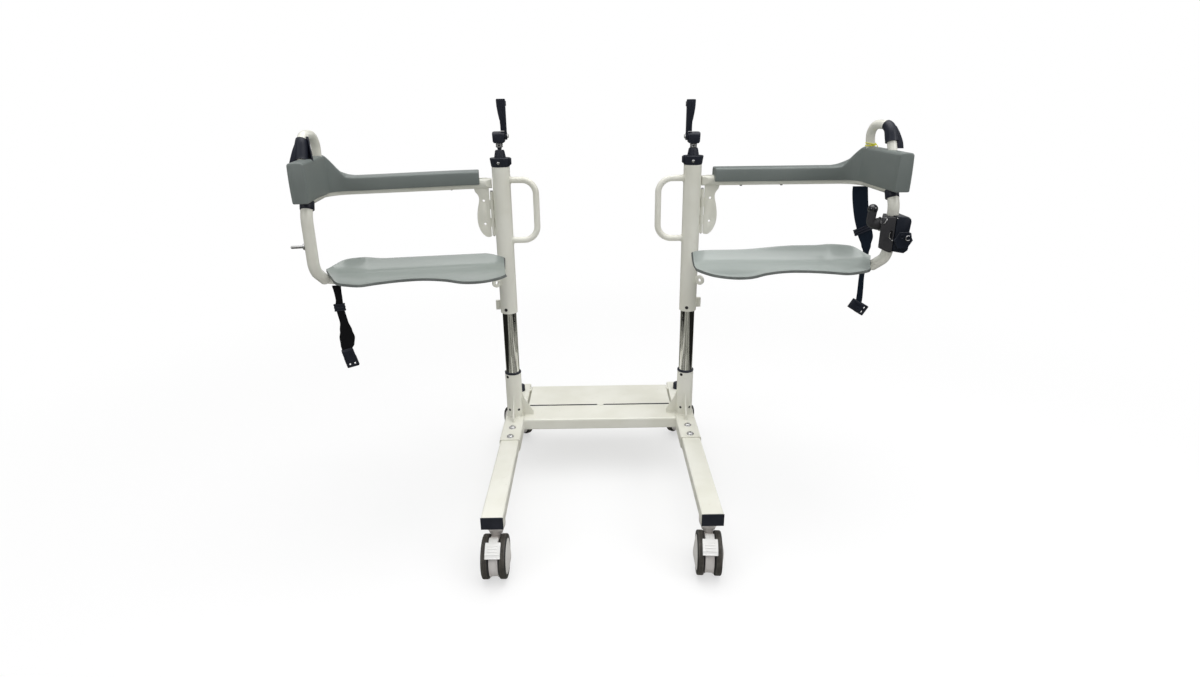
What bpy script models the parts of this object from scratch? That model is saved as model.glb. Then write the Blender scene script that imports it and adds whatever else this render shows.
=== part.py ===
"""Bath transfer chair: a crank-lifted chair on casters whose seat and back open down the middle.

Metres, +Z up. The two columns stand side by side along X. +Y is the way the seat faces, so the
latch, the brake pedals and the open ends of the legs are at -Y. Everything is laid out from the
point on the floor midway between the columns, then moved so that the origin lies on the floor under
the middle of the overall size.
"""
import math

import bmesh
import bpy
from mathutils import Matrix, Vector

# Clearance between neighbouring pieces
GAP = 0.0003

# Base: two legs plugged into the side rails, a cross beam between the rails
COLUMN_X = 0.245
LEG_WIDTH = 0.050
LEG_HEIGHT = 0.030
LEG_WALL = 0.002
LEG_NEAR_Y = -0.503
LEG_PLUGGED = 0.115
RAIL_WALL = 0.0022
RAIL_NEAR_Y = -0.152
RAIL_FAR_Y = 0.215
RAIL_TOP = 0.167
TUBE_CORNER = 0.004
STEM_BOSS_RADIUS = 0.011
STEM_BOSS_HEIGHT = 0.009
BEAM_NEAR_Y = -0.038
BEAM_FAR_Y = 0.056
BEAM_HEIGHT = 0.032
BEAM_WALL = 0.0025
LEG_CAP_THICK = 0.0028
LEG_CAP_PLUG = 0.015

# Foot plate, hinged at its far edge between the rails
PLATE_NEAR_Y = 0.058
PLATE_FAR_Y = 0.194
PLATE_CLEARANCE = 0.006
PLATE_THICK = 0.004
PLATE_SKIRT = 0.018
PLATE_PIVOT_Y = 0.186
PLATE_PIVOT_Z = 0.158
PLATE_PIVOT_RADIUS = 0.004
PLATE_TAB_WIDTH = 0.016

# Columns: socket, chromed inner tube, guide ring, lead nut, sliding sleeve
INNER_RADIUS = 0.019
INNER_WALL = 0.002
INNER_TOP = 0.670
SOCKET_WALL = 0.0032
SOCKET_TOP = 0.299
RING_HEIGHT = 0.005
SLEEVE_WALL = 0.0035
SLEEVE_BOTTOM = 0.476
SLEEVE_TOP = 0.868
NUT_TOP = 0.668
NUT_HEIGHT = 0.028
GUSSET_THICK = 0.004
GUSSET_TOP = 0.235
GUSSET_REACH = 0.030

# Side handle on the inner side of each sleeve
HANDLE_RADIUS = 0.008
HANDLE_TOP = 0.8345
HANDLE_BOTTOM = 0.679
HANDLE_REACH = 0.087
HANDLE_BEND = 0.036

# Column cap and crank
CAP_RADIUS = 0.0256
CAP_HEIGHT = 0.022
CAP_BOSS_RADIUS = 0.0137
CAP_BOSS_TOP_RADIUS = 0.0108
CAP_BOSS_HEIGHT = 0.019
CAP_PLUG = 0.018
CAP_LUG = 0.002
SCREW_RADIUS = 0.006
SCREW_BOTTOM = 0.585
STEM_RADIUS = 0.005
COLLAR_RADIUS = 0.0088
COLLAR_HEIGHT = 0.010
COLLAR_ABOVE_CAP = {-1: 0.0062, 1: GAP}
HUB_WIDTH = 0.031
HUB_FOOT_WIDTH = 0.020
HUB_HEIGHT = 0.028
ARM_PIVOT_UP = 0.017
ARM_LENGTH = 0.088
ARM_TANG = 0.0052
ARM_NARROW = 0.0148
ARM_WIDE = 0.0222
ARM_THICK = 0.009
ARM_BOLT_RADIUS = 0.003
GRIP_PIVOT_UP = 0.077
GRIP_RADIUS = 0.006
GRIP_LENGTH = 0.052
GRIP_BEHIND = 0.0088
GRIP_SIDE = 0.0095
GRIP_PIN_RADIUS = 0.002

# Wing hinge, and where the two wings stand, opened past the closed position
HINGE_REACH = 0.0275
HINGE_X = COLUMN_X + HINGE_REACH
WING_OPENING = {-1: 80.8, 1: 90.2}
KNUCKLE_RADIUS = 0.0045
PIN_RADIUS = 0.002
FIXED_KNUCKLES = ((0.692, 0.714), (0.738, 0.760), (0.784, 0.806))
PIVOT_LUG = (0.597, 0.609)
PIVOT_KNUCKLE_HEIGHT = 0.0155
PIVOT_PIN_RADIUS = 0.0025
HINGE_PLATE_THICK = 0.005
HINGE_PLATE_SETBACK = -0.003
HINGE_PLATE_TOP = 0.838
HINGE_PLATE_BOTTOM = 0.688

# Wing frame: arm tube, rear tube, seat rail and push handle
FRAME_RADIUS = 0.0135
ARM_Z = 0.827
ARM_SETBACK = -0.005
CORNER_R = 0.403
CORNER_BEND = 0.055
REAR_S = 0.228
REAR_BEND = 0.045
FOOT_BEND = 0.045
SEAT_RAIL_RADIUS = 0.010
SEAT_RAIL_Z = 0.617
SEAT_RAIL_S = 0.105
LOOP_RADIUS = 0.0105
LOOP_TOP = 0.960
LOOP_FAR_S = 0.064
LOOP_NEAR_S = 0.160
BAND_RADIUS = 0.0155
LOOP_KNEE_Z = 0.905
BAND_START = 0.32
BAND_CLEARANCE = 0.0077

# Arm and back pad
PAD_START = 0.028
PAD_END_S = 0.250
PAD_BOTTOM = 0.826
PAD_ARM_TOP = 0.860
PAD_BACK_TOP = 0.911
PAD_ARM_HALF = 0.025
PAD_BACK_HALF = 0.0165
PAD_ROUND = 0.006

# Seat half
SEAT_THICK = 0.006
SEAT_FAR_S = 0.065
SEAT_NEAR_S = 0.262
SEAT_WAIST = 0.052
SEAT_FLOOR = SEAT_RAIL_Z + SEAT_RAIL_RADIUS + GAP + SEAT_THICK
SEAT_NEAR_RIM = 0.0135
SEAT_END_R = CORNER_R - 0.013
SEAT_BEND_R = SEAT_END_R - 0.065
SEAT_FAR_RIM = 0.027

# Webbing belts, buckles, latch and striker
WEB_THICK = 0.003
WEB_WIDE = 0.038
WEB_NARROW = 0.025
BUCKLE_LENGTH = 0.048
BUCKLE_WIDTH = 0.030
BUCKLE_THICK = 0.012
LATCH_LOW = Vector((0.370, 0.188, 0.688))
LATCH_HIGH = Vector((0.446, 0.246, 0.770))
LATCH_CORNER = 0.010
LATCH_LUG = Vector((0.438, 0.228, 0.722))
LATCH_LUG_RADIUS = 0.011
LEVER_S = 0.215
LEVER_Z = 0.750
LEVER_RADIUS = 0.009
LEVER_SHAFT_RADIUS = 0.0054
LEVER_BORE_DEPTH = 0.012
LEVER_REACH = 0.026
LEVER_RISE = 0.035
LEVER_BACK = 0.012
BALL_RADIUS = 0.0110
KNOB_NECK_RADIUS = 0.006
STRIKER_Z = 0.727
STRIKER_RADIUS = 0.0045
STRIKER_LENGTH = 0.034

# Casters
WHEEL_RADIUS = 0.050
WHEEL_HALF_WIDTH = 0.0277
TYRE_WIDTH = 0.0158
HUB_COVER_RADIUS = 0.040
HUB_COVER_BULGE = 0.0075
AXLE_RADIUS = 0.006
HOUSING_RADIUS = 0.0455
HOUSING_HALF_WIDTH = 0.0107
SWIVEL_RADIUS = 0.0225
SWIVEL_NECK_RADIUS = 0.0115
CASTER_TRAIL = 0.032
NEAR_CASTER_Y = -0.453
FAR_CASTER_Y = 0.166
CASTER_TURN = {"near_left": 0.0, "near_right": -5.0, "far_left": 213.0, "far_right": -213.0}
PEDAL_RADIUS = 0.0522
PEDAL_THICK = 0.005
PEDAL_WIDTH = 0.034
PEDAL_NECK_WIDTH = 0.020
PEDAL_START = 8.0
PEDAL_SHOULDER = 22.0
PEDAL_END = 60.0

# Colour, roughness and metallic value of each finish
FINISHES = {
    "enamel": ((0.80, 0.79, 0.73), 0.30, 0.0),
    "chrome": ((0.75, 0.75, 0.74), 0.08, 1.0),
    "steel": ((0.55, 0.55, 0.54), 0.30, 1.0),
    "black": ((0.012, 0.014, 0.022), 0.45, 0.0),
    "pad": ((0.14, 0.17, 0.16), 0.50, 0.0),
    "seat": ((0.30, 0.36, 0.34), 0.42, 0.0),
    "caster": ((0.72, 0.70, 0.68), 0.45, 0.0),
    "tyre": ((0.045, 0.040, 0.036), 0.70, 0.0),
    "latch": ((0.045, 0.045, 0.050), 0.50, 0.0),
    "webbing": ((0.010, 0.011, 0.018), 0.80, 0.0),
}

SIDES = {"left": -1, "right": 1}


def collection(name):
    group = bpy.data.collections.new(name)
    bpy.context.scene.collection.children.link(group)
    return group


for old_object in list(bpy.data.objects):
    bpy.data.objects.remove(old_object, do_unlink=True)
PARTS = collection("bath_transfer_chair")
AXES = collection("joint_axes")


# Modelling steps that the sub-parts share

def add_object(name, data):
    item = bpy.data.objects.new(name, data)
    PARTS.objects.link(item)
    return item


def mesh_object(name, shape):
    shape.normal_update()
    bmesh.ops.recalc_face_normals(shape, faces=shape.faces)
    mesh = bpy.data.meshes.new(name)
    shape.to_mesh(mesh)
    shape.free()
    return add_object(name, mesh)


def as_mesh(item):
    """The object as its modifiers or its curve shape it, made a plain mesh with its seams welded."""
    bpy.context.view_layer.update()
    graph = bpy.context.evaluated_depsgraph_get()
    mesh = bpy.data.meshes.new_from_object(item.evaluated_get(graph))
    name = item.name
    place = item.matrix_world.copy()
    bpy.data.objects.remove(item)
    shape = bmesh.new()
    shape.from_mesh(mesh)
    bmesh.ops.remove_doubles(shape, verts=shape.verts, dist=0.00001)
    shape.transform(place)
    return mesh_object(name, shape)


def combine(base, others, operation="UNION"):
    """Joins or cuts the base with the other pieces, which are used up."""
    for other in others:
        step = base.modifiers.new("shape", "BOOLEAN")
        step.operation = operation
        step.solver = "EXACT"
        step.object = other
    result = as_mesh(base)
    for other in others:
        bpy.data.objects.remove(other)
    return result


def block(name, low, high, edge=0.0):
    """A box between two corners, its edges rounded."""
    low = Vector(low)
    high = Vector(high)
    size = [abs(value) for value in high - low]
    shape = bmesh.new()
    bmesh.ops.create_cube(shape, size=1.0)
    bmesh.ops.scale(shape, vec=size, verts=shape.verts)
    bmesh.ops.translate(shape, vec=(low + high) / 2, verts=shape.verts)
    if edge:
        bmesh.ops.bevel(shape, geom=shape.edges[:], offset=edge, segments=2, affect="EDGES", profile=0.5)
    return mesh_object(name, shape)


def turned(name, profile, steps=20, closed=False):
    """A profile of (radius, height) points, down its outer side, turned about Z."""
    shape = bmesh.new()
    points = [shape.verts.new((radius, 0, height)) for radius, height in profile]
    for first, second in zip(points, points[1:]):
        shape.edges.new((first, second))
    if closed:
        shape.edges.new((points[-1], points[0]))
    mesh = bpy.data.meshes.new(name)
    shape.to_mesh(mesh)
    shape.free()
    item = add_object(name, mesh)
    turn = item.modifiers.new("turn", "SCREW")
    turn.axis = "Z"
    turn.angle = math.tau
    turn.steps = steps
    turn.render_steps = steps
    turn.use_merge_vertices = True
    turn.merge_threshold = 0.00001
    return as_mesh(item)


def ring(name, outer, inner, bottom, top, steps=20):
    profile = [(outer, top), (outer, bottom), (inner, bottom), (inner, top)]
    return turned(name, profile, steps, closed=True)


def rod(name, start, end, radius, steps=16, end_radius=None):
    """A round bar from one point to another."""
    start = Vector(start)
    end = Vector(end)
    length = (end - start).length
    shape = bmesh.new()
    bmesh.ops.create_cone(
        shape,
        cap_ends=True,
        segments=steps,
        radius1=radius,
        radius2=end_radius or radius,
        depth=length,
    )
    turn = Vector((0, 0, 1)).rotation_difference(end - start).to_matrix().to_4x4()
    shape.transform(Matrix.Translation((start + end) / 2) @ turn)
    return mesh_object(name, shape)


def tube(name, points, radius, resolution=4, factors=None):
    """A round tube along a path, its ends closed."""
    curve = bpy.data.curves.new(name, "CURVE")
    curve.dimensions = "3D"
    curve.bevel_depth = radius
    curve.bevel_resolution = resolution
    curve.use_fill_caps = True
    spline = curve.splines.new("POLY")
    spline.points.add(len(points) - 1)
    for index, point in enumerate(points):
        spline.points[index].co = (*point, 1)
        spline.points[index].radius = factors[index] if factors else 1.0
    return as_mesh(add_object(name, curve))


def outline(name, loops, thickness, place=Matrix.Identity(4)):
    """A flat outline with its holes, extruded to a thickness about its own plane."""
    curve = bpy.data.curves.new(name, "CURVE")
    curve.dimensions = "2D"
    curve.fill_mode = "BOTH"
    curve.extrude = thickness / 2
    for loop in loops:
        spline = curve.splines.new("POLY")
        spline.points.add(len(loop) - 1)
        spline.use_cyclic_u = True
        for index, point in enumerate(loop):
            spline.points[index].co = (*point, 0, 1)
    item = add_object(name, curve)
    item.matrix_world = place
    return as_mesh(item)


def arc(centre, radius, start, end, steps):
    """Points along a flat arc, angles in degrees."""
    points = []
    for index in range(steps + 1):
        angle = math.radians(start + (end - start) * index / steps)
        points.append((centre[0] + radius * math.cos(angle), centre[1] + radius * math.sin(angle)))
    return points


def rounded_rectangle(width, height, corner, steps=2):
    across = width / 2 - corner
    up = height / 2 - corner
    corners = ((across, up, 0), (-across, up, 90), (-across, -up, 180), (across, -up, 270))
    points = []
    for x, y, start in corners:
        points += arc((x, y), corner, start, start + 90, steps)
    return points


def rounded_path(corners, bends, steps=4):
    """The path through the corner points, each inner corner rounded to its bend radius."""
    corners = [Vector(corner) for corner in corners]
    path = [corners[0]]
    for index, bend in enumerate(bends, start=1):
        corner = corners[index]
        back = (corners[index - 1] - corner).normalized()
        ahead = (corners[index + 1] - corner).normalized()
        half = back.angle(ahead) / 2
        centre = corner + (back + ahead).normalized() * (bend / math.sin(half))
        first = corner + back * (bend / math.tan(half)) - centre
        last = corner + ahead * (bend / math.tan(half)) - centre
        path += [centre + first.slerp(last, step / steps).normalized() * bend for step in range(steps + 1)]
    path.append(corners[-1])
    return path


def loft(name, rings):
    """A closed skin over rings of equally many points, its two ends filled."""
    shape = bmesh.new()
    rows = [[shape.verts.new(point) for point in points] for points in rings]
    count = len(rows[0])
    for first, second in zip(rows, rows[1:]):
        for index in range(count):
            after = (index + 1) % count
            shape.faces.new((first[index], first[after], second[after], second[index]))
    shape.faces.new(rows[0])
    shape.faces.new(rows[-1])
    return mesh_object(name, shape)


def finish(item, finish_name, parent=None, smooth=None):
    """Gives the piece its own material, its shading and the axis that it hangs on."""
    colour, roughness, metallic = FINISHES[finish_name]
    paint = bpy.data.materials.new(item.name + "_finish")
    paint.use_nodes = True
    shader = paint.node_tree.nodes["Principled BSDF"]
    shader.inputs["Base Color"].default_value = (*colour, 1)
    shader.inputs["Roughness"].default_value = roughness
    shader.inputs["Metallic"].default_value = metallic
    item.data.materials.clear()
    item.data.materials.append(paint)
    if smooth:
        item.data.shade_smooth()
        item.data.set_sharp_from_angle(angle=math.radians(smooth))
    if parent:
        item.parent = parent
    return item


def axis(name, location, turn=0.0, parent=None):
    """An empty that stands on a joint's axis."""
    empty = bpy.data.objects.new(name, None)
    empty.empty_display_size = 0.02
    empty.location = location
    empty.rotation_euler = (0, 0, math.radians(turn))
    empty.parent = parent
    AXES.objects.link(empty)
    return empty


# Planes that an outline is drawn in: across and up, as seen from -Y, or back and up, seen from +X

def across_plane(y=0.0):
    return Matrix.Translation((0, y, 0)) @ Matrix.Rotation(math.radians(90), 4, "X")


def side_plane(x=0.0):
    return Matrix.Translation((x, 0, 0)) @ Matrix(((0, 0, 1, 0), (1, 0, 0, 0), (0, 1, 0, 0), (0, 0, 0, 1)))


# Base

RAIL_WIDTH = LEG_WIDTH + 2 * (GAP + RAIL_WALL)
RAIL_HEIGHT = LEG_HEIGHT + 2 * (GAP + RAIL_WALL)
RAIL_Z = RAIL_TOP - RAIL_HEIGHT / 2
PLATE_HALF_WIDTH = COLUMN_X - RAIL_WIDTH / 2 - PLATE_CLEARANCE
RAIL_BOTTOM = RAIL_TOP - RAIL_HEIGHT
LEG_BOTTOM = RAIL_Z - LEG_HEIGHT / 2
SOCKET_RADIUS = INNER_RADIUS + GAP + SOCKET_WALL
SLEEVE_RADIUS = INNER_RADIUS + GAP + SLEEVE_WALL
CAP_TOP = SLEEVE_TOP + GAP + CAP_HEIGHT + CAP_BOSS_HEIGHT


def make_cross_beam():
    """Rectangular tube between the two side rails."""
    width = BEAM_FAR_Y - BEAM_NEAR_Y
    length = 2 * (COLUMN_X - RAIL_WIDTH / 2 - GAP)
    outside = rounded_rectangle(width, BEAM_HEIGHT, TUBE_CORNER)
    inside = rounded_rectangle(width - 2 * BEAM_WALL, BEAM_HEIGHT - 2 * BEAM_WALL, TUBE_CORNER / 2)
    centre_y = (BEAM_NEAR_Y + BEAM_FAR_Y) / 2
    place = Matrix.Translation((0, centre_y, RAIL_TOP - BEAM_HEIGHT / 2)) @ side_plane()
    beam = outline("cross_beam", [outside, inside], length, place)
    finish(beam, "enamel", smooth=35)


def make_side_rail(name, side):
    """Rectangular tube along the side, closed at its far end, with the boss over the far caster
    and the ear and pin that the foot plate turns on."""
    length = RAIL_FAR_Y - RAIL_NEAR_Y
    outside = rounded_rectangle(RAIL_WIDTH, RAIL_HEIGHT, TUBE_CORNER)
    inside = rounded_rectangle(LEG_WIDTH + 2 * GAP, LEG_HEIGHT + 2 * GAP, TUBE_CORNER / 2)
    middle = (RAIL_NEAR_Y + RAIL_FAR_Y) / 2
    place = Matrix.Translation((side * COLUMN_X, middle, RAIL_Z)) @ across_plane()
    rail = outline(name + "_side_rail", [outside, inside], length, place)
    inner_face = side * (COLUMN_X - RAIL_WIDTH / 2)
    ear_face = side * (PLATE_HALF_WIDTH + 4 * GAP)
    ear = block(
        "ear",
        (inner_face + side * RAIL_WALL / 2, PLATE_PIVOT_Y - 0.016, RAIL_BOTTOM + 0.004),
        (ear_face, PLATE_PIVOT_Y + 0.012, PLATE_PIVOT_Z + 0.0065),
        edge=0.0015,
    )
    pin = rod(
        "pin",
        (ear_face + side * 0.001, PLATE_PIVOT_Y, PLATE_PIVOT_Z),
        (side * (PLATE_HALF_WIDTH - PLATE_THICK - 0.003), PLATE_PIVOT_Y, PLATE_PIVOT_Z),
        PLATE_PIVOT_RADIUS,
    )
    end_plate = block(
        "end_plate",
        (side * COLUMN_X - RAIL_WIDTH / 2 + 0.001, RAIL_FAR_Y - 0.002, RAIL_BOTTOM + 0.001),
        (side * COLUMN_X + RAIL_WIDTH / 2 - 0.001, RAIL_FAR_Y + 0.001, RAIL_TOP - 0.001),
    )
    boss_foot = (side * COLUMN_X, FAR_CASTER_Y, RAIL_TOP - RAIL_WALL / 2)
    boss_top = (side * COLUMN_X, FAR_CASTER_Y, RAIL_TOP + STEM_BOSS_HEIGHT)
    boss = rod("boss", boss_foot, boss_top, STEM_BOSS_RADIUS, 16)
    finish(combine(rail, [ear, pin, end_plate, boss]), "enamel", smooth=35)


def make_foot_plate(plate_axis):
    """Folded sheet with end skirts that the pivot pins pass through, and a lip along its near edge."""
    low_y = PLATE_NEAR_Y - PLATE_PIVOT_Y
    high_y = PLATE_FAR_Y - PLATE_PIVOT_Y
    top = RAIL_TOP - PLATE_PIVOT_Z
    plate = block(
        "foot_plate",
        (-PLATE_HALF_WIDTH, low_y, top - PLATE_THICK),
        (PLATE_HALF_WIDTH, high_y, top),
        edge=0.0012,
    )
    joined = []
    for side in SIDES.values():
        outer = side * (PLATE_HALF_WIDTH - 0.0004)
        inner = side * (PLATE_HALF_WIDTH - PLATE_THICK)
        skirt_low = (inner, low_y + 0.004, top - PLATE_SKIRT)
        joined.append(block("skirt", skirt_low, (outer, high_y - 0.001, top - 0.001)))
    near_lip = block(
        "lip",
        (-PLATE_HALF_WIDTH + 0.001, low_y + 0.0004, top - PLATE_SKIRT + 0.002),
        (PLATE_HALF_WIDTH - 0.001, low_y + 0.003, top - 0.001),
    )
    joined.append(near_lip)
    plate = combine(plate, joined)
    bores = []
    for side in SIDES.values():
        start = (side * (PLATE_HALF_WIDTH + 0.01), 0, 0)
        end = (side * (PLATE_HALF_WIDTH - PLATE_THICK - 0.01), 0, 0)
        bores.append(rod("bore", start, end, PLATE_PIVOT_RADIUS + GAP))
    finish(combine(plate, bores, "DIFFERENCE"), "enamel", plate_axis, smooth=35)


def make_leg(name, side):
    """Leg tube that plugs into the side rail, and the cap in its open end."""
    near = LEG_NEAR_Y + LEG_CAP_THICK + GAP
    far = RAIL_NEAR_Y + LEG_PLUGGED
    outside = rounded_rectangle(LEG_WIDTH, LEG_HEIGHT, TUBE_CORNER)
    inside = rounded_rectangle(LEG_WIDTH - 2 * LEG_WALL, LEG_HEIGHT - 2 * LEG_WALL, TUBE_CORNER / 2)
    place = Matrix.Translation((side * COLUMN_X, (near + far) / 2, RAIL_Z)) @ across_plane()
    finish(outline(name + "_leg", [outside, inside], far - near, place), "enamel", smooth=35)
    half_width = LEG_WIDTH / 2
    half_height = LEG_HEIGHT / 2
    cap = block(
        name + "_leg_cap",
        (side * COLUMN_X - half_width, LEG_NEAR_Y, RAIL_Z - half_height),
        (side * COLUMN_X + half_width, LEG_NEAR_Y + LEG_CAP_THICK, RAIL_Z + half_height),
        edge=0.0012,
    )
    inset = LEG_WALL + GAP
    plug = block(
        "plug",
        (side * COLUMN_X - half_width + inset, LEG_NEAR_Y + LEG_CAP_THICK / 2, RAIL_Z - half_height + inset),
        (side * COLUMN_X + half_width - inset, near + LEG_CAP_PLUG, RAIL_Z + half_height - inset),
        edge=0.0015,
    )
    finish(combine(cap, [plug]), "black", smooth=35)


# Columns

def make_column_socket(name, side, column_axis):
    """Socket tube on the side rail, braced by a gusset behind it and one on its inner side."""
    bottom = RAIL_TOP + GAP
    socket = ring(name + "_column_socket", SOCKET_RADIUS, INNER_RADIUS + GAP, bottom, SOCKET_TOP)
    root = SOCKET_RADIUS - SOCKET_WALL / 2
    reach = SOCKET_RADIUS + GUSSET_REACH
    shoulder = bottom + 0.010
    profile = [(root, bottom), (reach, bottom), (reach, shoulder), (root, GUSSET_TOP)]
    rear = outline("rear_gusset", [[(-out, up) for out, up in profile]], GUSSET_THICK, side_plane())
    inner = outline("inner_gusset", [[(-side * out, up) for out, up in profile]], GUSSET_THICK, across_plane())
    finish(combine(socket, [rear, inner]), "enamel", column_axis, smooth=35)


def make_inner_column(name, column_axis):
    """Chromed tube in the socket, the ring that centres it and the nut in its top."""
    bore = INNER_RADIUS - INNER_WALL
    inner = ring(name + "_inner_tube", INNER_RADIUS, bore, RAIL_TOP + GAP, INNER_TOP)
    finish(inner, "chrome", column_axis, smooth=35)
    bottom = SOCKET_TOP + GAP
    guide = ring(name + "_guide_ring", SOCKET_RADIUS, INNER_RADIUS + GAP, bottom, SOCKET_TOP + RING_HEIGHT)
    finish(guide, "black", column_axis, smooth=35)
    nut = ring(name + "_lead_nut", bore - GAP, SCREW_RADIUS + GAP, NUT_TOP - NUT_HEIGHT, NUT_TOP)
    finish(nut, "steel", column_axis, smooth=35)


def make_sleeve(name, side, column_axis):
    """Outer tube that slides on the chromed tube and carries the side handle, hinge and lugs."""
    sleeve = ring(name + "_sleeve", SLEEVE_RADIUS, INNER_RADIUS + GAP, SLEEVE_BOTTOM, SLEEVE_TOP)
    wall_middle = SLEEVE_RADIUS - SLEEVE_WALL * 0.6
    joined = []
    corners = [
        (-side * wall_middle, 0, HANDLE_TOP),
        (-side * HANDLE_REACH, 0, HANDLE_TOP),
        (-side * HANDLE_REACH, 0, HANDLE_BOTTOM),
        (-side * wall_middle, 0, HANDLE_BOTTOM),
    ]
    joined.append(tube("handle", rounded_path(corners, (HANDLE_BEND, HANDLE_BEND)), HANDLE_RADIUS, 3))
    for bottom, top in FIXED_KNUCKLES:
        joined.append(fixed_knuckle(side, bottom, top, PIN_RADIUS + GAP))
    joined.append(fixed_knuckle(side, *PIVOT_LUG, None))
    pin_top = PIVOT_LUG[1] + PIVOT_KNUCKLE_HEIGHT + 0.008
    hinge = side * HINGE_REACH
    joined.append(rod("pivot_pin", (hinge, 0, PIVOT_LUG[1] - 0.004), (hinge, 0, pin_top), PIVOT_PIN_RADIUS, 12))
    joined.append(make_eye_lug(side, wall_middle))
    low = (side * wall_middle, -0.004, SLEEVE_BOTTOM + 0.012)
    high = (side * (SLEEVE_RADIUS + 0.012), 0.004, SLEEVE_BOTTOM + 0.038)
    joined.append(block("tab", low, high, edge=0.001))
    finish(combine(sleeve, joined), "enamel", column_axis, smooth=35)


def fixed_knuckle(side, bottom, top, bore):
    """Hinge knuckle with the short web that welds it to the sleeve."""
    hinge = side * HINGE_REACH
    if bore:
        knuckle = ring("knuckle", KNUCKLE_RADIUS, bore, bottom, top, 12)
    else:
        knuckle = rod("knuckle", (0, 0, bottom), (0, 0, top), KNUCKLE_RADIUS, 12)
    knuckle.location.x = hinge
    knuckle = as_mesh(knuckle)
    root = side * (SLEEVE_RADIUS - SLEEVE_WALL / 2)
    tip = hinge - side * (PIN_RADIUS + 3 * GAP)
    web = block("web", (root, -0.0028, bottom + GAP), (tip, 0.0028, top - GAP))
    return combine(knuckle, [web])


def make_eye_lug(side, root):
    """Round ear with a hole, welded on edge to the outer side of the sleeve."""
    centre = (side * (SLEEVE_RADIUS + 0.0115), 0.565)
    disc = arc(centre, 0.0130, 0, 345, 23)
    hole = arc(centre, 0.0045, 0, 330, 11)
    ear = outline("ear", [disc, hole], 0.005, across_plane())
    neck = block("neck", (side * root, -0.0024, 0.555), (side * (SLEEVE_RADIUS + 0.004), 0.0024, 0.575))
    return combine(ear, [neck])


def make_column_cap(name, side, column_axis):
    """Moulded cap with its boss, a side lug and the plug that sits in the sleeve."""
    base = SLEEVE_TOP + GAP
    flange_top = base + CAP_HEIGHT
    boss_top = CAP_TOP
    bore = STEM_RADIUS + GAP
    plug = INNER_RADIUS
    profile = [
        (bore, boss_top),
        (CAP_BOSS_TOP_RADIUS, boss_top),
        (CAP_BOSS_RADIUS, flange_top),
        (CAP_RADIUS - 0.0015, flange_top),
        (CAP_RADIUS, flange_top - 0.0015),
        (CAP_RADIUS - 0.003, base),
        (plug, base),
        (plug, base - CAP_PLUG),
        (bore, base - CAP_PLUG),
    ]
    cap = turned(name + "_column_cap", profile, closed=True)
    lug_start = -side * (CAP_RADIUS - 0.006)
    lug_end = -side * (CAP_RADIUS + CAP_LUG)
    lug = block("lug", (lug_start, -0.009, base + 0.004), (lug_end, 0.009, flange_top - 0.001), edge=0.002)
    finish(combine(cap, [lug]), "black", column_axis, smooth=35)


def make_lead_screw(name, side, column_axis):
    """Lead screw with its stem through the cap and the steel collar that the crank sits on."""
    collar = CAP_TOP + COLLAR_ABOVE_CAP[side]
    shoulder = SLEEVE_TOP - CAP_PLUG - 2 * GAP
    profile = [
        (0, collar + COLLAR_HEIGHT),
        (COLLAR_RADIUS, collar + COLLAR_HEIGHT),
        (COLLAR_RADIUS, collar),
        (STEM_RADIUS, collar),
        (STEM_RADIUS, shoulder),
        (SCREW_RADIUS, shoulder),
        (SCREW_RADIUS, SCREW_BOTTOM + 0.001),
        (SCREW_RADIUS - 0.001, SCREW_BOTTOM),
        (0, SCREW_BOTTOM),
    ]
    finish(turned(name + "_lead_screw", profile, 16), "steel", column_axis, smooth=35)


def make_crank(name, side, screw_axis):
    """Crank: D-shaped hub on the screw, a fold-down arm on its inner side, a fold-out grip.
    The hub's upper near edge is round about the arm's pivot, which lets the arm fold past it."""
    bottom = CAP_TOP + COLLAR_ABOVE_CAP[side] + COLLAR_HEIGHT + GAP
    top = bottom + HUB_HEIGHT
    half = HUB_WIDTH / 2
    foot = HUB_FOOT_WIDTH / 2
    shape = [
        (-half, top - 0.002), (-half + 0.002, top), (half - 0.002, top), (half, top - 0.002),
        (half - 0.001, bottom + 0.009), (half - 0.003, bottom + 0.005), (foot, bottom),
        (-foot, bottom), (-half + 0.003, bottom + 0.005), (-half + 0.001, bottom + 0.009),
    ]
    reach = HUB_HEIGHT - ARM_PIVOT_UP
    hub = outline(name + "_crank_hub", [shape], 2 * reach, across_plane())
    pivot = bottom + ARM_PIVOT_UP
    rounded = arc((0, pivot), reach, 90, 180, 6)
    rounded += [(-reach, bottom - 0.001), (reach + 0.001, bottom - 0.001), (reach + 0.001, top)]
    hub = combine(hub, [outline("round_edge", [rounded], 2 * HUB_WIDTH, side_plane())], "INTERSECT")
    bolt_start = (-side * (half - 0.004), 0, pivot)
    bolt_end = (-side * (half + GAP + ARM_TANG + 0.003), 0, pivot)
    bolt = rod("bolt", bolt_start, bolt_end, ARM_BOLT_RADIUS, 12)
    finish(combine(hub, [bolt]), "black", screw_axis, smooth=35)
    arm_axis = axis(name + "_crank_arm_axis", (0, 0, pivot), parent=screw_axis)
    finish(make_crank_arm(name, side, half + GAP), "black", arm_axis, smooth=35)
    grip_axis = axis(name + "_crank_grip_axis", (0, GRIP_BEHIND, GRIP_PIVOT_UP), parent=arm_axis)
    finish(make_crank_grip(name, side, grip_axis), "black", grip_axis, smooth=35)


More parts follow.
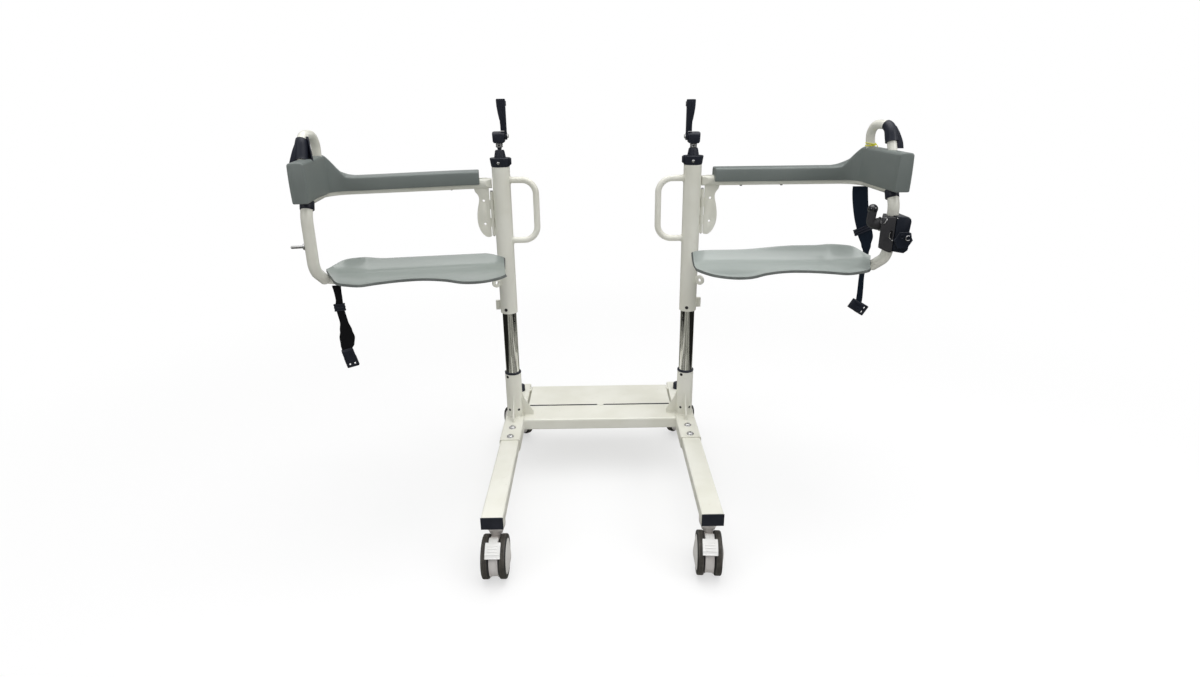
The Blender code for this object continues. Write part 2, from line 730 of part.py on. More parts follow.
def make_crank_arm(name, side, tang_face):
    """Tapered lever: a tang beside the hub, a flared blade, and two cheeks that hold the grip."""
    tang_back = tang_face + ARM_TANG
    clear = HUB_HEIGHT - ARM_PIVOT_UP + 4 * GAP
    flare = 0.055
    blade = [
        (tang_face, -0.009), (tang_back, -0.009), (tang_back, ARM_LENGTH - 0.002),
        (tang_back - 0.002, ARM_LENGTH), (tang_back - ARM_WIDE + 0.002, ARM_LENGTH),
        (tang_back - ARM_WIDE, ARM_LENGTH - 0.002), (tang_back - ARM_WIDE + 0.003, flare),
        (tang_back - ARM_NARROW, flare - 0.020), (tang_back - ARM_NARROW, clear), (tang_face, clear),
    ]
    mirrored = [(-side * across, up) for across, up in blade]
    middle_y = -ARM_THICK / 2 + 0.001
    arm = outline(name + "_crank_arm", [mirrored], ARM_THICK, across_plane(middle_y))
    hole_ends = [(-side * (tang_face - 0.002), 0, 0), (-side * (tang_back + 0.002), 0, 0)]
    hole = rod("hole", *hole_ends, ARM_BOLT_RADIUS + GAP, 12)
    tang_ends = [(-side * (tang_face + 0.0002), 0, 0), (-side * (tang_back - 0.0002), 0, 0)]
    tang = rod("tang", *tang_ends, 0.0092, 20)
    arm = combine(combine(arm, [tang]), [hole], "DIFFERENCE")
    pin_ends = []
    cheeks = []
    for edge, inward in ((tang_back, -1), (tang_back - ARM_WIDE, 1)):
        low = (-side * (edge + inward * 0.0008), middle_y, GRIP_PIVOT_UP - 0.006)
        high = (-side * (edge + inward * 0.0034), GRIP_BEHIND + 0.005, GRIP_PIVOT_UP + 0.006)
        cheeks.append(block("cheek", low, high))
        pin_ends.append((-side * (edge + inward * 0.0015), GRIP_BEHIND, GRIP_PIVOT_UP))
    cheeks.append(rod("pin", *pin_ends, GRIP_PIN_RADIUS, 12))
    return combine(arm, cheeks)


def make_crank_grip(name, side, grip_axis):
    """Small round grip that folds out behind the arm, pierced by its pin."""
    root = GRIP_RADIUS
    profile = [(0, root)]
    profile += [(x, y) for x, y in arc((0, 0), GRIP_RADIUS, 67.5, 0, 3)]
    profile += [
        (GRIP_RADIUS * 0.85, -GRIP_LENGTH * 0.45),
        (GRIP_RADIUS, -GRIP_LENGTH + 0.004),
        (GRIP_RADIUS * 0.7, -GRIP_LENGTH),
        (0, -GRIP_LENGTH),
    ]
    grip = turned(name + "_crank_grip", profile, 16)
    grip.location.x = -side * GRIP_SIDE
    grip = as_mesh(grip)
    bore = rod("bore", (-0.04, 0, 0), (0.04, 0, 0), GRIP_PIN_RADIUS + GAP, 12)
    return combine(grip, [bore], "DIFFERENCE")


# Wings: r runs out from the hinge along the arm, s runs from the arm tube over the seat

def wing_point(side, r, s, z):
    return Vector((side * r, -s, z))


def wing_path(side, corners, bends, steps=4):
    return rounded_path([wing_point(side, *corner) for corner in corners], bends, steps)


REAR_FOOT = (CORNER_R + 0.002, 0.145, 0.634)
FRAME_CORNERS = [
    (0.003, ARM_SETBACK, ARM_Z),
    (CORNER_R, ARM_SETBACK, ARM_Z),
    (CORNER_R + 0.002, REAR_S, ARM_Z),
    (CORNER_R + 0.007, REAR_S - 0.022, 0.670),
    REAR_FOOT,
]
LOOP_SEAT = ARM_Z + FRAME_RADIUS * 0.5
LOOP_CORNERS = [
    (CORNER_R - 0.002, LOOP_FAR_S, LOOP_SEAT),
    (CORNER_R - 0.006, LOOP_FAR_S, LOOP_TOP),
    (CORNER_R + 0.006, LOOP_NEAR_S - 0.024, LOOP_TOP),
    (CORNER_R + 0.008, LOOP_NEAR_S, LOOP_KNEE_Z),
    (CORNER_R + 0.001, LOOP_NEAR_S + 0.004, LOOP_SEAT),
]


def frame_tube(name, side, radius):
    path = wing_path(side, FRAME_CORNERS, (CORNER_BEND, REAR_BEND, FOOT_BEND))
    return tube(name, path, radius)


def loop_tube(name, side, radius):
    path = wing_path(side, LOOP_CORNERS, (0.035, 0.030, 0.030), 5)
    return tube(name, path, radius, 3)


def make_wing_frame(name, side, wing_axis):
    """Arm tube bent into the rear tube, with the hinge plate and its knuckles welded on."""
    frame = frame_tube(name + "_wing_frame", side, FRAME_RADIUS)
    closed_column = wing_point(side, 0, HINGE_REACH, 0)
    notch = rod(
        "notch",
        closed_column + Vector((0, 0, ARM_Z - 0.03)),
        closed_column + Vector((0, 0, ARM_Z + 0.03)),
        SLEEVE_RADIUS + 0.0035,
        32,
    )
    frame = combine(frame, [notch], "DIFFERENCE")
    inner = KNUCKLE_RADIUS + 0.0017
    edge = [(inner, HINGE_PLATE_TOP), (0.044, HINGE_PLATE_TOP), (0.044, 0.812)]
    edge += [(0.036, 0.800), (0.0325, 0.788), (0.0355, 0.772), (0.0395, 0.752), (0.040, 0.730)]
    edge += [(0.035, 0.708), (0.026, 0.694), (0.016, HINGE_PLATE_BOTTOM), (inner, 0.690)]
    loops = [[(side * r, z) for r, z in edge]]
    for hole_z in (0.783, 0.723):
        hole = arc((0.021, hole_z), 0.003, 0, 300, 5)
        loops.append([(side * r, z) for r, z in hole])
    plate = outline("hinge_plate", loops, HINGE_PLATE_THICK, across_plane(-HINGE_PLATE_SETBACK))
    joined = [plate]
    for below, above in zip(FIXED_KNUCKLES, FIXED_KNUCKLES[1:]):
        bottom = below[1] + GAP
        top = above[0] - GAP
        knuckle = ring("knuckle", KNUCKLE_RADIUS, PIN_RADIUS + GAP, bottom, top, 12)
        web_low = wing_point(side, KNUCKLE_RADIUS - 0.001, HINGE_PLATE_SETBACK - 0.002, bottom + GAP)
        web_high = wing_point(side, inner + 0.002, HINGE_PLATE_SETBACK + 0.002, top - GAP)
        joined.append(combine(knuckle, [block("web", web_low, web_high)]))
    finish(combine(frame, joined), "enamel", wing_axis, smooth=35)


def make_hinge_pin(name, side, wing_axis):
    """Headed pin through the upper hinge knuckles."""
    bottom = FIXED_KNUCKLES[0][0] - 0.002
    head = FIXED_KNUCKLES[-1][1] + GAP
    profile = [
        (0, head + 0.0025), (0.0030, head + 0.0025), (0.0036, head + 0.0015), (0.0036, head),
        (PIN_RADIUS, head), (PIN_RADIUS, bottom), (0, bottom),
    ]
    finish(turned(name + "_hinge_pin", profile, 12), "steel", wing_axis, smooth=35)


def make_seat_rail(name, side, wing_axis):
    """Round rail under the seat half, from the rear tube to the lower pivot on the sleeve."""
    knuckle_bottom = PIVOT_LUG[1] + GAP
    knuckle_top = knuckle_bottom + PIVOT_KNUCKLE_HEIGHT
    corners = [
        REAR_FOOT,
        (CORNER_R - 0.053, SEAT_RAIL_S + 0.010, SEAT_RAIL_Z),
        (0.140, SEAT_RAIL_S - 0.005, SEAT_RAIL_Z),
        (0.075, 0.012, SEAT_RAIL_Z),
        (0.036, -0.001, SEAT_RAIL_Z),
    ]
    rail = tube(name + "_seat_rail", wing_path(side, corners, (0.05, 0.05, 0.03), 3), SEAT_RAIL_RADIUS, 3)
    foot = wing_point(side, *REAR_FOOT)
    run = (foot - wing_point(side, *FRAME_CORNERS[-2])).normalized()
    rear_tube = rod("rear_tube", foot - run * 0.03, foot + run * 2 * GAP, FRAME_RADIUS + GAP, 24)
    rail = combine(rail, [rear_tube], "DIFFERENCE")
    low = wing_point(side, KNUCKLE_RADIUS - 0.0008, HINGE_PLATE_SETBACK - 0.0022, knuckle_bottom + GAP)
    high = wing_point(side, 0.048, HINGE_PLATE_SETBACK + 0.0022, knuckle_top - GAP)
    knuckle = ring("knuckle", KNUCKLE_RADIUS, PIVOT_PIN_RADIUS + GAP, knuckle_bottom, knuckle_top, 12)
    tab = combine(block("tab", low, high), [knuckle])
    bore = rod("bore", (0, 0, knuckle_bottom - 0.01), (0, 0, knuckle_top + 0.01), PIVOT_PIN_RADIUS + GAP, 12)
    tab = combine(tab, [bore], "DIFFERENCE")
    finish(combine(rail, [tab]), "enamel", wing_axis, smooth=35)


def make_push_loop(name, side, wing_axis):
    """Upturned push handle, its two legs saddled onto the frame tube."""
    loop = loop_tube(name + "_push_loop", side, LOOP_RADIUS)
    saddle = frame_tube("saddle", side, FRAME_RADIUS + GAP)
    finish(combine(loop, [saddle], "DIFFERENCE"), "enamel", wing_axis, smooth=35)


def make_loop_band(name, side, wing_axis):
    """Black sleeve on the sloping near leg of the push loop."""
    bend = wing_point(side, *LOOP_CORNERS[2])
    foot = wing_point(side, *LOOP_CORNERS[3])
    top = bend.lerp(foot, BAND_START)
    lower_end = PAD_BACK_TOP + BAND_CLEARANCE
    bottom = bend.lerp(foot, (LOOP_TOP - lower_end) / (LOOP_TOP - LOOP_KNEE_Z))
    band = rod(name + "_loop_band", bottom, top, BAND_RADIUS, 16, BAND_RADIUS * 0.87)
    bore = rod("bore", bend.lerp(foot, 0.0), bend.lerp(foot, 1.5), LOOP_RADIUS + GAP)
    finish(combine(band, [bore], "DIFFERENCE"), "black", wing_axis, smooth=35)


def pad_section(side, centre, heading, front, back, bottom, top):
    """Rounded rectangle across the pad: heading is the way it runs, front is the side over the seat."""
    inward = Vector((-math.sin(heading), math.cos(heading)))
    edge = PAD_ROUND
    cheek = edge * 0.3
    shape = [
        (front - cheek, bottom), (front, bottom + cheek), (front, top - edge), (front - cheek, top - cheek),
        (front - edge, top), (edge - back, top), (cheek - back, top - cheek), (-back, top - edge),
        (-back, bottom + cheek), (cheek - back, bottom),
    ]
    points = []
    for out, z in shape:
        place = centre + inward * out
        points.append(wing_point(side, place.x, place.y, z))
    return points


def smooth_share(value, start, end):
    share = min(max((value - start) / (end - start), 0.0), 1.0)
    return share * share * (3 - 2 * share)


def make_arm_pad(name, side, wing_axis):
    """Moulded pad along the arm that turns the corner and rises into the back pad."""
    stations = [(Vector((r, ARM_SETBACK)), 0.0) for r in (PAD_START, 0.12, 0.22, 0.30)]
    bend_centre = Vector((CORNER_R - CORNER_BEND, ARM_SETBACK + CORNER_BEND))
    for step in range(7):
        heading = math.radians(15 * step)
        stations.append((bend_centre + CORNER_BEND * Vector((math.sin(heading), -math.cos(heading))), heading))
    for s in (0.09, 0.14, 0.20, PAD_END_S):
        stations.append((Vector((CORNER_R + 0.002, s)), math.pi / 2))
    rings = []
    run = 0.0
    corner_start = CORNER_R - CORNER_BEND - PAD_START
    for index, (centre, heading) in enumerate(stations):
        if index:
            run += (centre - stations[index - 1][0]).length
        rise = smooth_share(run, corner_start - 0.012, corner_start + 0.085)
        slim = smooth_share(run, corner_start, corner_start + 0.09)
        half = PAD_ARM_HALF + (PAD_BACK_HALF - PAD_ARM_HALF) * slim
        top = PAD_ARM_TOP + (PAD_BACK_TOP - PAD_ARM_TOP) * rise
        rings.append(pad_section(side, centre, heading, half, half, PAD_BOTTOM, top))
    pad = loft(name + "_arm_pad", rings)
    cutters = [frame_tube("channel", side, FRAME_RADIUS + GAP), loop_tube("leg_holes", side, LOOP_RADIUS + GAP)]
    finish(combine(pad, cutters, "DIFFERENCE"), "pad", wing_axis, smooth=40)


def seat_edges(r):
    """Far and near edges of the seat half, and the height of the far rim, at a place along the arm."""
    waist = math.exp(-(((r - 0.180) / 0.068) ** 4))
    near = SEAT_NEAR_S - SEAT_WAIST * waist
    far = SEAT_FAR_S
    if r < 0.01:
        turn = ((0.01 - r) / 0.031) ** 2
        near -= 0.040 * turn
        far += 0.020 * turn
    if r > SEAT_BEND_R:
        turn = (r - SEAT_BEND_R) / (SEAT_END_R - SEAT_BEND_R)
        near -= 0.085 * turn ** 3
        far += 0.087 * turn
    crest = SEAT_END_R - 0.025
    rim = SEAT_FAR_RIM + 0.016 * smooth_share(r, 0.27, crest) - 0.018 * smooth_share(r, crest, SEAT_END_R)
    rim -= 0.008 * smooth_share(-r, -0.03, 0.02)
    return far, near, rim


def seat_height(r, from_far, from_near, far_rim):
    """Height of the seat's upper face: a dished floor with a raised far rim and rear ramp."""
    rear = 0.022 * smooth_share(r, SEAT_BEND_R, SEAT_END_R)
    far = (far_rim - rear) * (1 - smooth_share(from_far, 0.0, 0.030))
    near = (SEAT_NEAR_RIM - rear * 0.35) * (1 - smooth_share(from_near, 0.0, 0.034))
    return SEAT_FLOOR + rear + far + near


def make_seat_half(name, side, wing_axis):
    """Dished half seat with a waisted inner edge, lying on its rail."""
    lengthwise = (-0.021, -0.016, -0.008, 0.004, 0.02, 0.045, 0.07, 0.095, 0.13)
    lengthwise += (0.18, 0.23, 0.265, 0.295)
    lengthwise += tuple(SEAT_END_R - inside for inside in (0.07, 0.045, 0.025, 0.010, 0.0))
    crosswise = (0.0, 0.06, 0.14, 0.26, 0.45, 0.64, 0.80, 0.92, 1.0)
    shape = bmesh.new()
    rows = []
    for r in lengthwise:
        far, near, rim = seat_edges(r)
        row = []
        for share in crosswise:
            s = far + (near - far) * share
            z = seat_height(r, s - far, near - s, rim)
            row.append(shape.verts.new(wing_point(side, r, s, z)))
        rows.append(row)
    for first, second in zip(rows, rows[1:]):
        for index in range(len(crosswise) - 1):
            corners = (first[index], second[index], second[index + 1], first[index + 1])
            shape.faces.new(corners if side > 0 else corners[::-1])
    mesh = bpy.data.meshes.new(name)
    shape.to_mesh(mesh)
    shape.free()
    seat = add_object(name + "_seat_half", mesh)
    wall = seat.modifiers.new("wall", "SOLIDIFY")
    wall.thickness = SEAT_THICK
    wall.offset = 1.0
    finish(as_mesh(seat), "seat", wing_axis, smooth=40)


def strap(name, side, stations):
    """Flat webbing through stations of centre point, width and the way its width runs."""
    rings = []
    for index, (place, width, across) in enumerate(stations):
        before = Vector(stations[max(index - 1, 0)][0])
        after = Vector(stations[min(index + 1, len(stations) - 1)][0])
        along = (after - before).normalized()
        across = Vector(across).normalized()
        face = along.cross(across).normalized()
        ring_points = []
        for out, up in ((1, 1), (-1, 1), (-1, -1), (1, -1)):
            point = Vector(place) + across * (out * width / 2) + face * (up * WEB_THICK / 2)
            ring_points.append(wing_point(side, *point))
        rings.append(ring_points)
    return loft(name, rings)


def buckle(name, side, centre, along, across):
    """Side-release buckle body, its long side on the belt's line."""
    body = block(
        name,
        (-BUCKLE_WIDTH / 2, -BUCKLE_THICK / 2, -BUCKLE_LENGTH / 2),
        (BUCKLE_WIDTH / 2, BUCKLE_THICK / 2, BUCKLE_LENGTH / 2),
        edge=0.004,
    )
    down = wing_point(side, *along).normalized()
    wide = wing_point(side, *across).normalized()
    face = down.cross(wide).normalized()
    wide = face.cross(down)
    turn = Matrix((wide, face, down)).transposed().to_4x4()
    body.matrix_world = Matrix.Translation(wing_point(side, *centre)) @ turn
    return as_mesh(body)


def make_belts(left_axis, right_axis):
    """The right belt hangs from the arm tube behind the seat, the left from the end of the rear tube."""
    top = ARM_Z - FRAME_RADIUS - GAP
    wide = (1, 0, 0)
    right_stations = [
        ((CORNER_R - 0.0135, 0.040, top), WEB_WIDE, wide),
        ((CORNER_R - 0.013, 0.041, 0.780), WEB_WIDE, wide),
        ((CORNER_R - 0.011, 0.042, 0.730), WEB_WIDE, wide),
        ((CORNER_R - 0.007, 0.043, 0.708), WEB_WIDE * 0.9, wide),
        ((CORNER_R + 0.005, 0.044, 0.650), WEB_NARROW * 0.75, wide),
        ((CORNER_R + 0.017, 0.045, 0.600), WEB_NARROW * 0.6, (1, 0.3, 0)),
        ((CORNER_R + 0.027, 0.046, 0.550), WEB_NARROW * 0.65, (1, 0.2, 0)),
        ((CORNER_R + 0.0315, 0.046, 0.524), WEB_NARROW * 0.75, (1, 0.1, -0.2)),
        ((CORNER_R + 0.028, 0.045, 0.514), WEB_NARROW * 0.8, (0.84, 0, -0.55)),
    ]
    finish(strap("right_belt", 1, right_stations), "webbing", right_axis)
    left_top = SEAT_RAIL_Z - 0.0032
    left_along = Vector((-0.12, 0.0, -0.99)).normalized()
    left_across = Vector((0.99, 0.0, -0.12)).normalized()
    left_stations = [
        ((CORNER_R - 0.017, 0.130, left_top), WEB_NARROW * 0.9, wide),
        ((CORNER_R - 0.017, 0.130, 0.585), WEB_NARROW * 0.9, wide),
        ((CORNER_R - 0.017, 0.130, 0.565), WEB_NARROW, wide),
        ((CORNER_R - 0.016, 0.130, 0.520), WEB_NARROW, wide),
        ((CORNER_R - 0.016, 0.130, 0.480), WEB_NARROW, wide),
        ((CORNER_R - 0.018, 0.130, 0.452), WEB_NARROW, left_across),
    ]
    finish(strap("left_belt", -1, left_stations), "webbing", left_axis)
    right_low = Vector(right_stations[-1][0])
    left_low = Vector(left_stations[-1][0])
    right_along = Vector((-0.55, 0.0, -0.84)).normalized()
    drop = BUCKLE_LENGTH / 2 + 2 * GAP
    right_centre = right_low + right_along * drop
    left_centre = left_low + left_along * drop
    finish(buckle("right_buckle", 1, right_centre, right_along, (0.84, 0, -0.55)), "black", right_axis, smooth=40)
    finish(buckle("left_buckle", -1, left_centre, left_along, left_across), "black", left_axis, smooth=40)


def make_latch(wing_axis):
    """Split clamp on the right rear tube, and its turning lever with a ball knob."""
    low = LATCH_LOW
    high = LATCH_HIGH
    middle = wing_point(1, *((low + high) / 2))
    plan = rounded_rectangle(high.x - low.x, high.y - low.y, LATCH_CORNER)
    body = outline("latch_body", [plan], high.z - low.z, Matrix.Translation(middle))
    lever_place = wing_point(1, low.x, LEVER_S, LEVER_Z)
    lever_axis = axis("latch_lever_axis", lever_place, parent=wing_axis)
    bore_ends = [lever_place + Vector((reach, 0, 0)) for reach in (-LEVER_REACH, LEVER_BORE_DEPTH)]
    bore = rod("bore", *bore_ends, LEVER_SHAFT_RADIUS + GAP)
    body = combine(body, [frame_tube("tube_hole", 1, FRAME_RADIUS + GAP), bore], "DIFFERENCE")
    lug_root = wing_point(1, *LATCH_LUG)
    lug_end = wing_point(1, high.x + 0.005, LATCH_LUG.y, LATCH_LUG.z)
    finish(combine(body, [rod("lug", lug_root, lug_end, LATCH_LUG_RADIUS, 6)]), "latch", wing_axis, smooth=40)
    shaft = rod("latch_lever", (LEVER_BORE_DEPTH - 0.001, 0, 0), (-LEVER_REACH, 0, 0), LEVER_SHAFT_RADIUS)
    sheath = rod("sheath", (-3 * GAP, 0, 0), (-LEVER_REACH, 0, 0), LEVER_RADIUS, 16, LEVER_RADIUS * 0.85)
    elbow = bmesh.new()
    bmesh.ops.create_uvsphere(elbow, u_segments=16, v_segments=10, radius=LEVER_RADIUS)
    bmesh.ops.translate(elbow, vec=(-LEVER_REACH, 0, 0), verts=elbow.verts)
    knob = Vector((LEVER_BACK - LEVER_REACH, 0, LEVER_RISE))
    neck = rod("neck", (-LEVER_REACH, 0, 0), knob, KNOB_NECK_RADIUS, 12)
    ball = bmesh.new()
    bmesh.ops.create_uvsphere(ball, u_segments=16, v_segments=10, radius=BALL_RADIUS)
    bmesh.ops.translate(ball, vec=knob, verts=ball.verts)
    joined = [sheath, mesh_object("elbow", elbow), neck, mesh_object("ball", ball)]
    finish(combine(shaft, joined), "latch", lever_axis, smooth=40)


def rear_tube_at(height):
    """Where the middle of the rear tube's sloping stretch lies at a height."""
    upper = Vector(FRAME_CORNERS[2])
    lower = Vector(FRAME_CORNERS[3])
    return upper.lerp(lower, (upper.z - height) / (upper.z - lower.z))


def make_striker_pin(wing_axis):
    """Steel pin that stands out from the left rear tube."""
    tube_middle = rear_tube_at(STRIKER_Z)
    start = wing_point(-1, tube_middle.x + FRAME_RADIUS + GAP, tube_middle.y, STRIKER_Z)
    end = start + Vector((-STRIKER_LENGTH, 0, 0))
    finish(rod("striker_pin", start, end, STRIKER_RADIUS), "steel", wing_axis, smooth=35)


# Casters: built about the swivel axis, the wheels trailing at -Y of it

def make_caster(name, place, mount_z, turn, braked):
    """Twin-wheel caster: housing with its swivel flange, the wheel pair and the brake pedal."""
    swivel = axis(name + "_swivel_axis", (*place, 0), turn)
    top = mount_z - GAP
    profile = [
        (0, top), (SWIVEL_RADIUS, top), (SWIVEL_RADIUS, 2 * WHEEL_RADIUS + 0.002),
        (SWIVEL_RADIUS * 0.85, 2 * WHEEL_RADIUS - 0.008), (SWIVEL_NECK_RADIUS, WHEEL_RADIUS + 0.026),
        (0, WHEEL_RADIUS + 0.026),
    ]
    head = turned("head", profile, 20)
    half = HOUSING_HALF_WIDTH
    body = rod(
        name + "_caster_housing",
        (-half, -CASTER_TRAIL, WHEEL_RADIUS),
        (half, -CASTER_TRAIL, WHEEL_RADIUS),
        HOUSING_RADIUS,
        28,
    )
    bore = rod(
        "bore",
        (-2 * half, -CASTER_TRAIL, WHEEL_RADIUS),
        (2 * half, -CASTER_TRAIL, WHEEL_RADIUS),
        AXLE_RADIUS + GAP,
    )
    clearances = [bore]
    for side in SIDES.values():
        low = (side * (half + GAP / 2), -CASTER_TRAIL, WHEEL_RADIUS)
        high = (side * 3 * half, -CASTER_TRAIL, WHEEL_RADIUS)
        clearances.append(rod("clearance", low, high, WHEEL_RADIUS + 0.0015, 32))
    housing = combine(combine(body, [head]), clearances, "DIFFERENCE")
    finish(housing, "caster", swivel, smooth=35)
    wheel_axis = axis(name + "_wheel_axis", (0, -CASTER_TRAIL, WHEEL_RADIUS), parent=swivel)
    finish(make_wheels(name), "tyre", wheel_axis, smooth=35)
    if braked:
        make_brake_pedal(name, swivel)


def make_wheels(name):
    """Two wheels on one axle: tyres outside the housing, conical hub covers outside the tyres."""
    inner = WHEEL_HALF_WIDTH - TYRE_WIDTH
    edge = 0.0035
    half = [
        (0, WHEEL_HALF_WIDTH + HUB_COVER_BULGE),
        (0.006, WHEEL_HALF_WIDTH + HUB_COVER_BULGE - 0.0008),
        (HUB_COVER_RADIUS, WHEEL_HALF_WIDTH - 0.0005),
        (WHEEL_RADIUS - edge, WHEEL_HALF_WIDTH),
        (WHEEL_RADIUS, WHEEL_HALF_WIDTH - edge),
        (WHEEL_RADIUS, inner + edge),
        (WHEEL_RADIUS - edge, inner),
        (AXLE_RADIUS, inner),
    ]
    profile = half + [(radius, -height) for radius, height in reversed(half)]
    wheels = turned(name + "_wheels", profile, 20)
    wheels.rotation_euler.y = math.radians(90)
    return as_mesh(wheels)


def make_brake_pedal(name, swivel):
    """Curved foot pedal over the back of the wheels, narrow at its neck."""
    pedal_axis = axis(name + "_pedal_axis", (0, -CASTER_TRAIL, WHEEL_RADIUS), parent=swivel)
    inner = PEDAL_RADIUS
    outer = PEDAL_RADIUS + PEDAL_THICK
    wide = arc((0, 0), outer, 90 + PEDAL_SHOULDER, 90 + PEDAL_END, 6)
    wide += arc((0, 0), inner, 90 + PEDAL_END, 90 + PEDAL_SHOULDER, 6)
    neck = arc((0, 0), outer, 90 + PEDAL_START, 90 + PEDAL_SHOULDER + 3, 3)
    neck += arc((0, 0), inner, 90 + PEDAL_SHOULDER + 3, 90 + PEDAL_START, 3)
    blade = outline(name + "_brake_pedal", [wide], PEDAL_WIDTH, side_plane())
    stalk = outline("stalk", [neck], PEDAL_NECK_WIDTH, side_plane())
    seat = arc((0, 0), inner + 0.001, 90 + PEDAL_START + 2, 90 + PEDAL_SHOULDER + 16, 4)
    seat += arc((0, 0), HOUSING_RADIUS + GAP, 90 + PEDAL_SHOULDER + 16, 90 + PEDAL_START + 2, 8)
    shoe = outline("shoe", [seat], PEDAL_NECK_WIDTH * 0.6, side_plane())
    finish(combine(blade, [stalk, shoe]), "caster", pedal_axis, smooth=35)


def build():
    make_cross_beam()
    make_foot_plate(axis("foot_plate_axis", (0, PLATE_PIVOT_Y, PLATE_PIVOT_Z)))
    wing_axes = {}
    for name, side in SIDES.items():
        make_side_rail(name, side)
        make_leg(name, side)
        column_axis = axis(name + "_column_axis", (side * COLUMN_X, 0, 0))
        make_column_socket(name, side, column_axis)
        make_inner_column(name, column_axis)
        make_sleeve(name, side, column_axis)
        make_column_cap(name, side, column_axis)
        make_lead_screw(name, side, column_axis)
        make_crank(name, side, column_axis)
        wing_axis = axis(name + "_wing_axis", (side * HINGE_X, 0, 0), side * (WING_OPENING[side] - 90))
        wing_axes[name] = wing_axis
        make_wing_frame(name, side, wing_axis)
        make_hinge_pin(name, side, wing_axis)
        make_seat_rail(name, side, wing_axis)
        make_push_loop(name, side, wing_axis)
        make_loop_band(name, side, wing_axis)
        make_arm_pad(name, side, wing_axis)
        make_seat_half(name, side, wing_axis)
        near = (side * COLUMN_X, NEAR_CASTER_Y)
        far = (side * COLUMN_X, FAR_CASTER_Y)
        make_caster("near_" + name, near, LEG_BOTTOM, CASTER_TURN["near_" + name], braked=True)
        make_caster("far_" + name, far, RAIL_BOTTOM, CASTER_TURN["far_" + name], braked=False)
    make_belts(wing_axes["left"], wing_axes["right"])
    make_latch(wing_axes["right"])
    make_striker_pin(wing_axes["left"])


def centre_on_floor():
    """Moves the chair so that the origin is on the floor under the middle of its overall size."""
    bpy.context.view_layer.update()
    points = [part.matrix_world @ corner.co for part in PARTS.objects for corner in part.data.vertices]
    low = Vector([min(point[index] for point in points) for index in range(3)])
    high = Vector([max(point[index] for point in points) for index in range(3)])
    shift = Vector((-(low.x + high.x) / 2, -(low.y + high.y) / 2, -low.z))
    for item in list(PARTS.objects) + list(AXES.objects):
        if item.parent is None:
            item.location += shift


build()
centre_on_floor()
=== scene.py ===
import math

import bpy
from mathutils import Matrix, Vector


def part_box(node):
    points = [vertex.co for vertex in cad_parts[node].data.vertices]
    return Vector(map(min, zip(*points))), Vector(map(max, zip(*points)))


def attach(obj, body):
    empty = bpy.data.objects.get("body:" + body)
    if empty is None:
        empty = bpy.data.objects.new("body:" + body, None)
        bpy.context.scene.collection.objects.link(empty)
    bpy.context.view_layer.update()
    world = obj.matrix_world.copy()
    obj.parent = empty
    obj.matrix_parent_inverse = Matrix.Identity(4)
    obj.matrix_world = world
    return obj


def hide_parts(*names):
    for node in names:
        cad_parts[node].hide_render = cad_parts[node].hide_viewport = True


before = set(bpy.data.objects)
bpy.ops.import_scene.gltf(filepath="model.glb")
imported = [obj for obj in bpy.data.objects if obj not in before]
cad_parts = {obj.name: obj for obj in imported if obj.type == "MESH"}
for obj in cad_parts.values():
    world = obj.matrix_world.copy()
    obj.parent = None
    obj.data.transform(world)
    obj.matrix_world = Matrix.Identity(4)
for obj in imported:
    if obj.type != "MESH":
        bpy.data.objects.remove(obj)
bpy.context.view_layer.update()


# The room: a plain pale floor that runs out into white, and soft studio light from tall bright
# panels between dark curtains. The chromed tubes mirror bright streaks that lie on the floor. Sizes
# are metres on the real chair, and the columns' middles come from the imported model.

SIDES = {"left": -1, "right": 1}
COLUMN = {}
for side_name in SIDES:
    low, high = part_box(side_name + "_inner_tube")
    COLUMN[side_name] = Vector(((low.x + high.x) / 2, (low.y + high.y) / 2, 0))
MIDDLE = (COLUMN["left"] + COLUMN["right"]) / 2
FLOOR_RADIUS = 30.0
FLOOR_BELOW = 0.0004
FLOOR_ALBEDO = 0.90
STREAKED_HALF = (0.82, 1.02)
SENSOR = 36.0
LENS = 19.967


